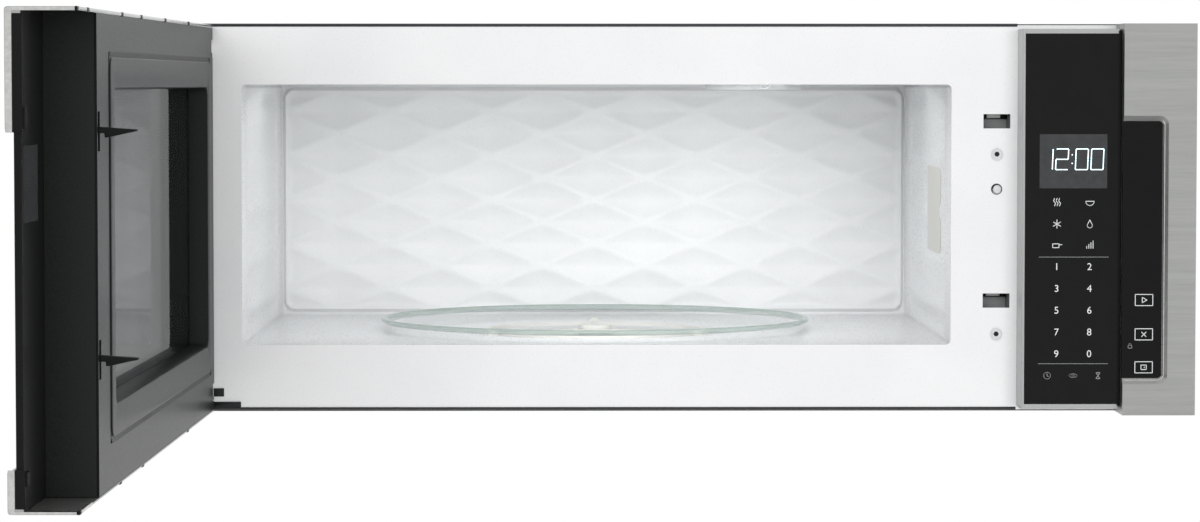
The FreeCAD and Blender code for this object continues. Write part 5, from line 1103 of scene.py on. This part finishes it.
class MICROWAVE_OT_stage(bpy.types.Operator):
    """Pale floor, soft lamps and the camera at the photograph's angle"""

    bl_idname = "microwave.stage"
    bl_label = "Stage"

    def execute(self, context):
        scene = context.scene
        scene.view_settings.view_transform = "Standard"
        self.make_world(scene)
        self.make_floor(scene)
        self.make_lamps()
        self.make_camera(scene)
        return {"FINISHED"}

    def make_world(self, scene):
        """White where the camera, a mirror or a glass looks, and a softer light elsewhere."""
        world = bpy.data.worlds.new("studio")
        world.use_nodes = True
        scene.world = world
        tree = world.node_tree
        tree.nodes.clear()
        path = add_node(tree, "ShaderNodeLightPath")
        mirrored = add_node(tree, "ShaderNodeMath", {"operation": "MAXIMUM"},
                            {0: path.outputs["Is Camera Ray"], 1: path.outputs["Is Glossy Ray"]})
        seen = add_node(tree, "ShaderNodeMath", {"operation": "MAXIMUM"},
                        {0: mirrored.outputs[0], 1: path.outputs["Is Transmission Ray"]})
        soft = add_node(tree, "ShaderNodeBackground", {"Color": linear("#fbfcff"), "Strength": 0.32})
        white = add_node(tree, "ShaderNodeBackground", {"Color": linear("#ffffff"), "Strength": 1.0})
        mix = add_node(tree, "ShaderNodeMixShader", {},
                       {0: seen.outputs[0], 1: soft.outputs[0], 2: white.outputs[0]})
        add_node(tree, "ShaderNodeOutputWorld", {}, {"Surface": mix.outputs[0]})

    def make_floor(self, scene):
        """A round floor below the wall-hung case, fading to white at its rim."""
        radius, plain, drop = 1.25, 0.6, 0.46
        mesh = bmesh.new()
        bmesh.ops.create_circle(mesh, cap_ends=True, segments=96, radius=radius)
        data = bpy.data.meshes.new("floor")
        mesh.to_mesh(data)
        mesh.free()
        floor = bpy.data.objects.new("floor", data)
        floor.location = (0, FRONT, BASE - drop)
        scene.collection.objects.link(floor)
        material, tree, shader = new_material("floor_paper", Roughness=0.9)
        shader.inputs["Base Color"].default_value = linear(scene.microwave_colours.floor)
        path = add_node(tree, "ShaderNodeLightPath")
        where = add_node(tree, "ShaderNodeTexCoord")
        middle = add_node(tree, "ShaderNodeVectorMath", {"operation": "LENGTH"}, {0: where.outputs["Object"]})
        reach = {"From Min": plain, "From Max": radius, "To Min": 0.35, "To Max": 1.0}
        rim = add_node(tree, "ShaderNodeMapRange", reach, {"Value": middle.outputs["Value"]})
        looked = add_node(tree, "ShaderNodeMath", {"operation": "MAXIMUM"},
                          {0: path.outputs["Is Camera Ray"], 1: path.outputs["Is Transmission Ray"]})
        share = add_node(tree, "ShaderNodeMath", {"operation": "MULTIPLY"},
                         {0: rim.outputs[0], 1: looked.outputs[0]})
        white = add_node(tree, "ShaderNodeEmission", {"Color": linear("#ffffff"), "Strength": 1.0})
        mix = add_node(tree, "ShaderNodeMixShader", {},
                       {0: share.outputs[0], 1: shader.outputs[0], 2: white.outputs[0]})
        tree.links.new(mix.outputs[0], tree.nodes["Material Output"].inputs["Surface"])
        data.materials.append(material)

    def make_lamps(self):
        """Large soft lamps round the microwave, most of all in front, where they reach the oven's back."""
        aim_z = -0.05
        # each lamp's place, watts, size and the y that it aims at
        lamps = {
            "front_left": ((-0.75, -3.7, 0.75), 45.0, 1.4, FRONT + 0.2),
            "front_right": ((0.85, -3.7, 0.15), 34.0, 1.4, FRONT + 0.2),
            "side_left": ((-3.2, -0.4, 1.0), 36.0, 1.6, FRONT / 2),
            "side_right": ((3.2, -0.4, 1.0), 36.0, 1.6, FRONT / 2),
            "behind": ((0.3, 3.2, 1.2), 40.0, 1.8, FRONT / 2),
            "oven_lens": ((0.047, FRONT + 0.05, BASE + 0.244), 0.06, 0.05, FRONT + 0.16),
            "oven_left": ((-0.21, FRONT + 0.15, BASE + 0.247), 0.16, 0.26, FRONT + 0.16),
            "oven_right": ((0.06, FRONT + 0.15, BASE + 0.247), 0.14, 0.26, FRONT + 0.16),
            "oven_mouth": ((-0.075, FRONT + 0.01, BASE + 0.15), 0.15, 0.12, FRONT + 3),
        }
        for name, (where, watts, size, aim_y) in lamps.items():
            lamp = bpy.data.lights.new(name, "AREA")
            lamp.energy = watts
            lamp.size = size
            holder = bpy.data.objects.new(name, lamp)
            holder.location = where
            holder.visible_glossy = False
            holder.visible_camera = False
            across = where[0] if name.startswith("oven") else where[0] * 0.2
            aim = Vector((across, aim_y, aim_z)) - Vector(where)
            holder.rotation_euler = aim.to_track_quat("-Z", "Y").to_euler()
            bpy.context.scene.collection.objects.link(holder)

    def make_camera(self, scene):
        """A long lens a little above the middle and left of it, aimed slightly down."""
        lens = bpy.data.cameras.new("camera")
        lens.lens = 111.87
        lens.sensor_width = 36
        lens.clip_end = 50
        camera = bpy.data.objects.new("camera", lens)
        camera.location = (-0.09493, -3.28518, 0.10219)
        camera.rotation_euler = (math.radians(90 - 2.7076), 0, math.radians(-0.4581))
        scene.collection.objects.link(camera)
        scene.camera = camera


# ---------------------------------------------------------------- add-on


class MICROWAVE_PT_panel(bpy.types.Panel):
    """Lists the microwave's pieces and sizes"""

    bl_idname = "MICROWAVE_PT_panel"
    bl_label = "Microwave"
    bl_space_type = "VIEW_3D"
    bl_region_type = "UI"
    bl_category = "Microwave"

    def draw(self, context):
        for operator in OPERATORS:
            self.layout.operator(operator.bl_idname)
        for name in SETTINGS:
            settings = getattr(context.scene, name)
            box = self.layout.box()
            for key in settings.bl_rna.properties.keys():
                if key not in ("rna_type", "name"):
                    box.prop(settings, key)


OPERATORS = (
    MICROWAVE_OT_finishes,
    MICROWAVE_OT_liner,
    MICROWAVE_OT_catches,
    MICROWAVE_OT_latch,
    MICROWAVE_OT_tray,
    MICROWAVE_OT_door_trim,
    MICROWAVE_OT_touch_bezel,
    MICROWAVE_OT_printing,
    MICROWAVE_OT_stage,
)
SETTINGS = {
    "microwave_liner": LinerSizes,
    "microwave_door": DoorSizes,
    "microwave_printing": PrintSizes,
    "microwave_colours": FinishColours,
}


def register():
    for settings in SETTINGS.values():
        bpy.utils.register_class(settings)
    for name, settings in SETTINGS.items():
        setattr(bpy.types.Scene, name, bpy.props.PointerProperty(type=settings))
    for made in OPERATORS + (MICROWAVE_PT_panel,):
        bpy.utils.register_class(made)


def unregister():
    for made in reversed(OPERATORS + (MICROWAVE_PT_panel,)):
        bpy.utils.unregister_class(made)
    for name, settings in SETTINGS.items():
        delattr(bpy.types.Scene, name)
        bpy.utils.unregister_class(settings)


def main():
    register()
    bpy.ops.microwave.finishes()
    bpy.ops.microwave.liner()
    bpy.ops.microwave.catches()
    bpy.ops.microwave.latch()
    bpy.ops.microwave.tray()
    bpy.ops.microwave.door_trim()
    bpy.ops.microwave.touch_bezel()
    bpy.ops.microwave.printing()
    bpy.ops.microwave.stage()


if __name__ == "__main__":
    main()
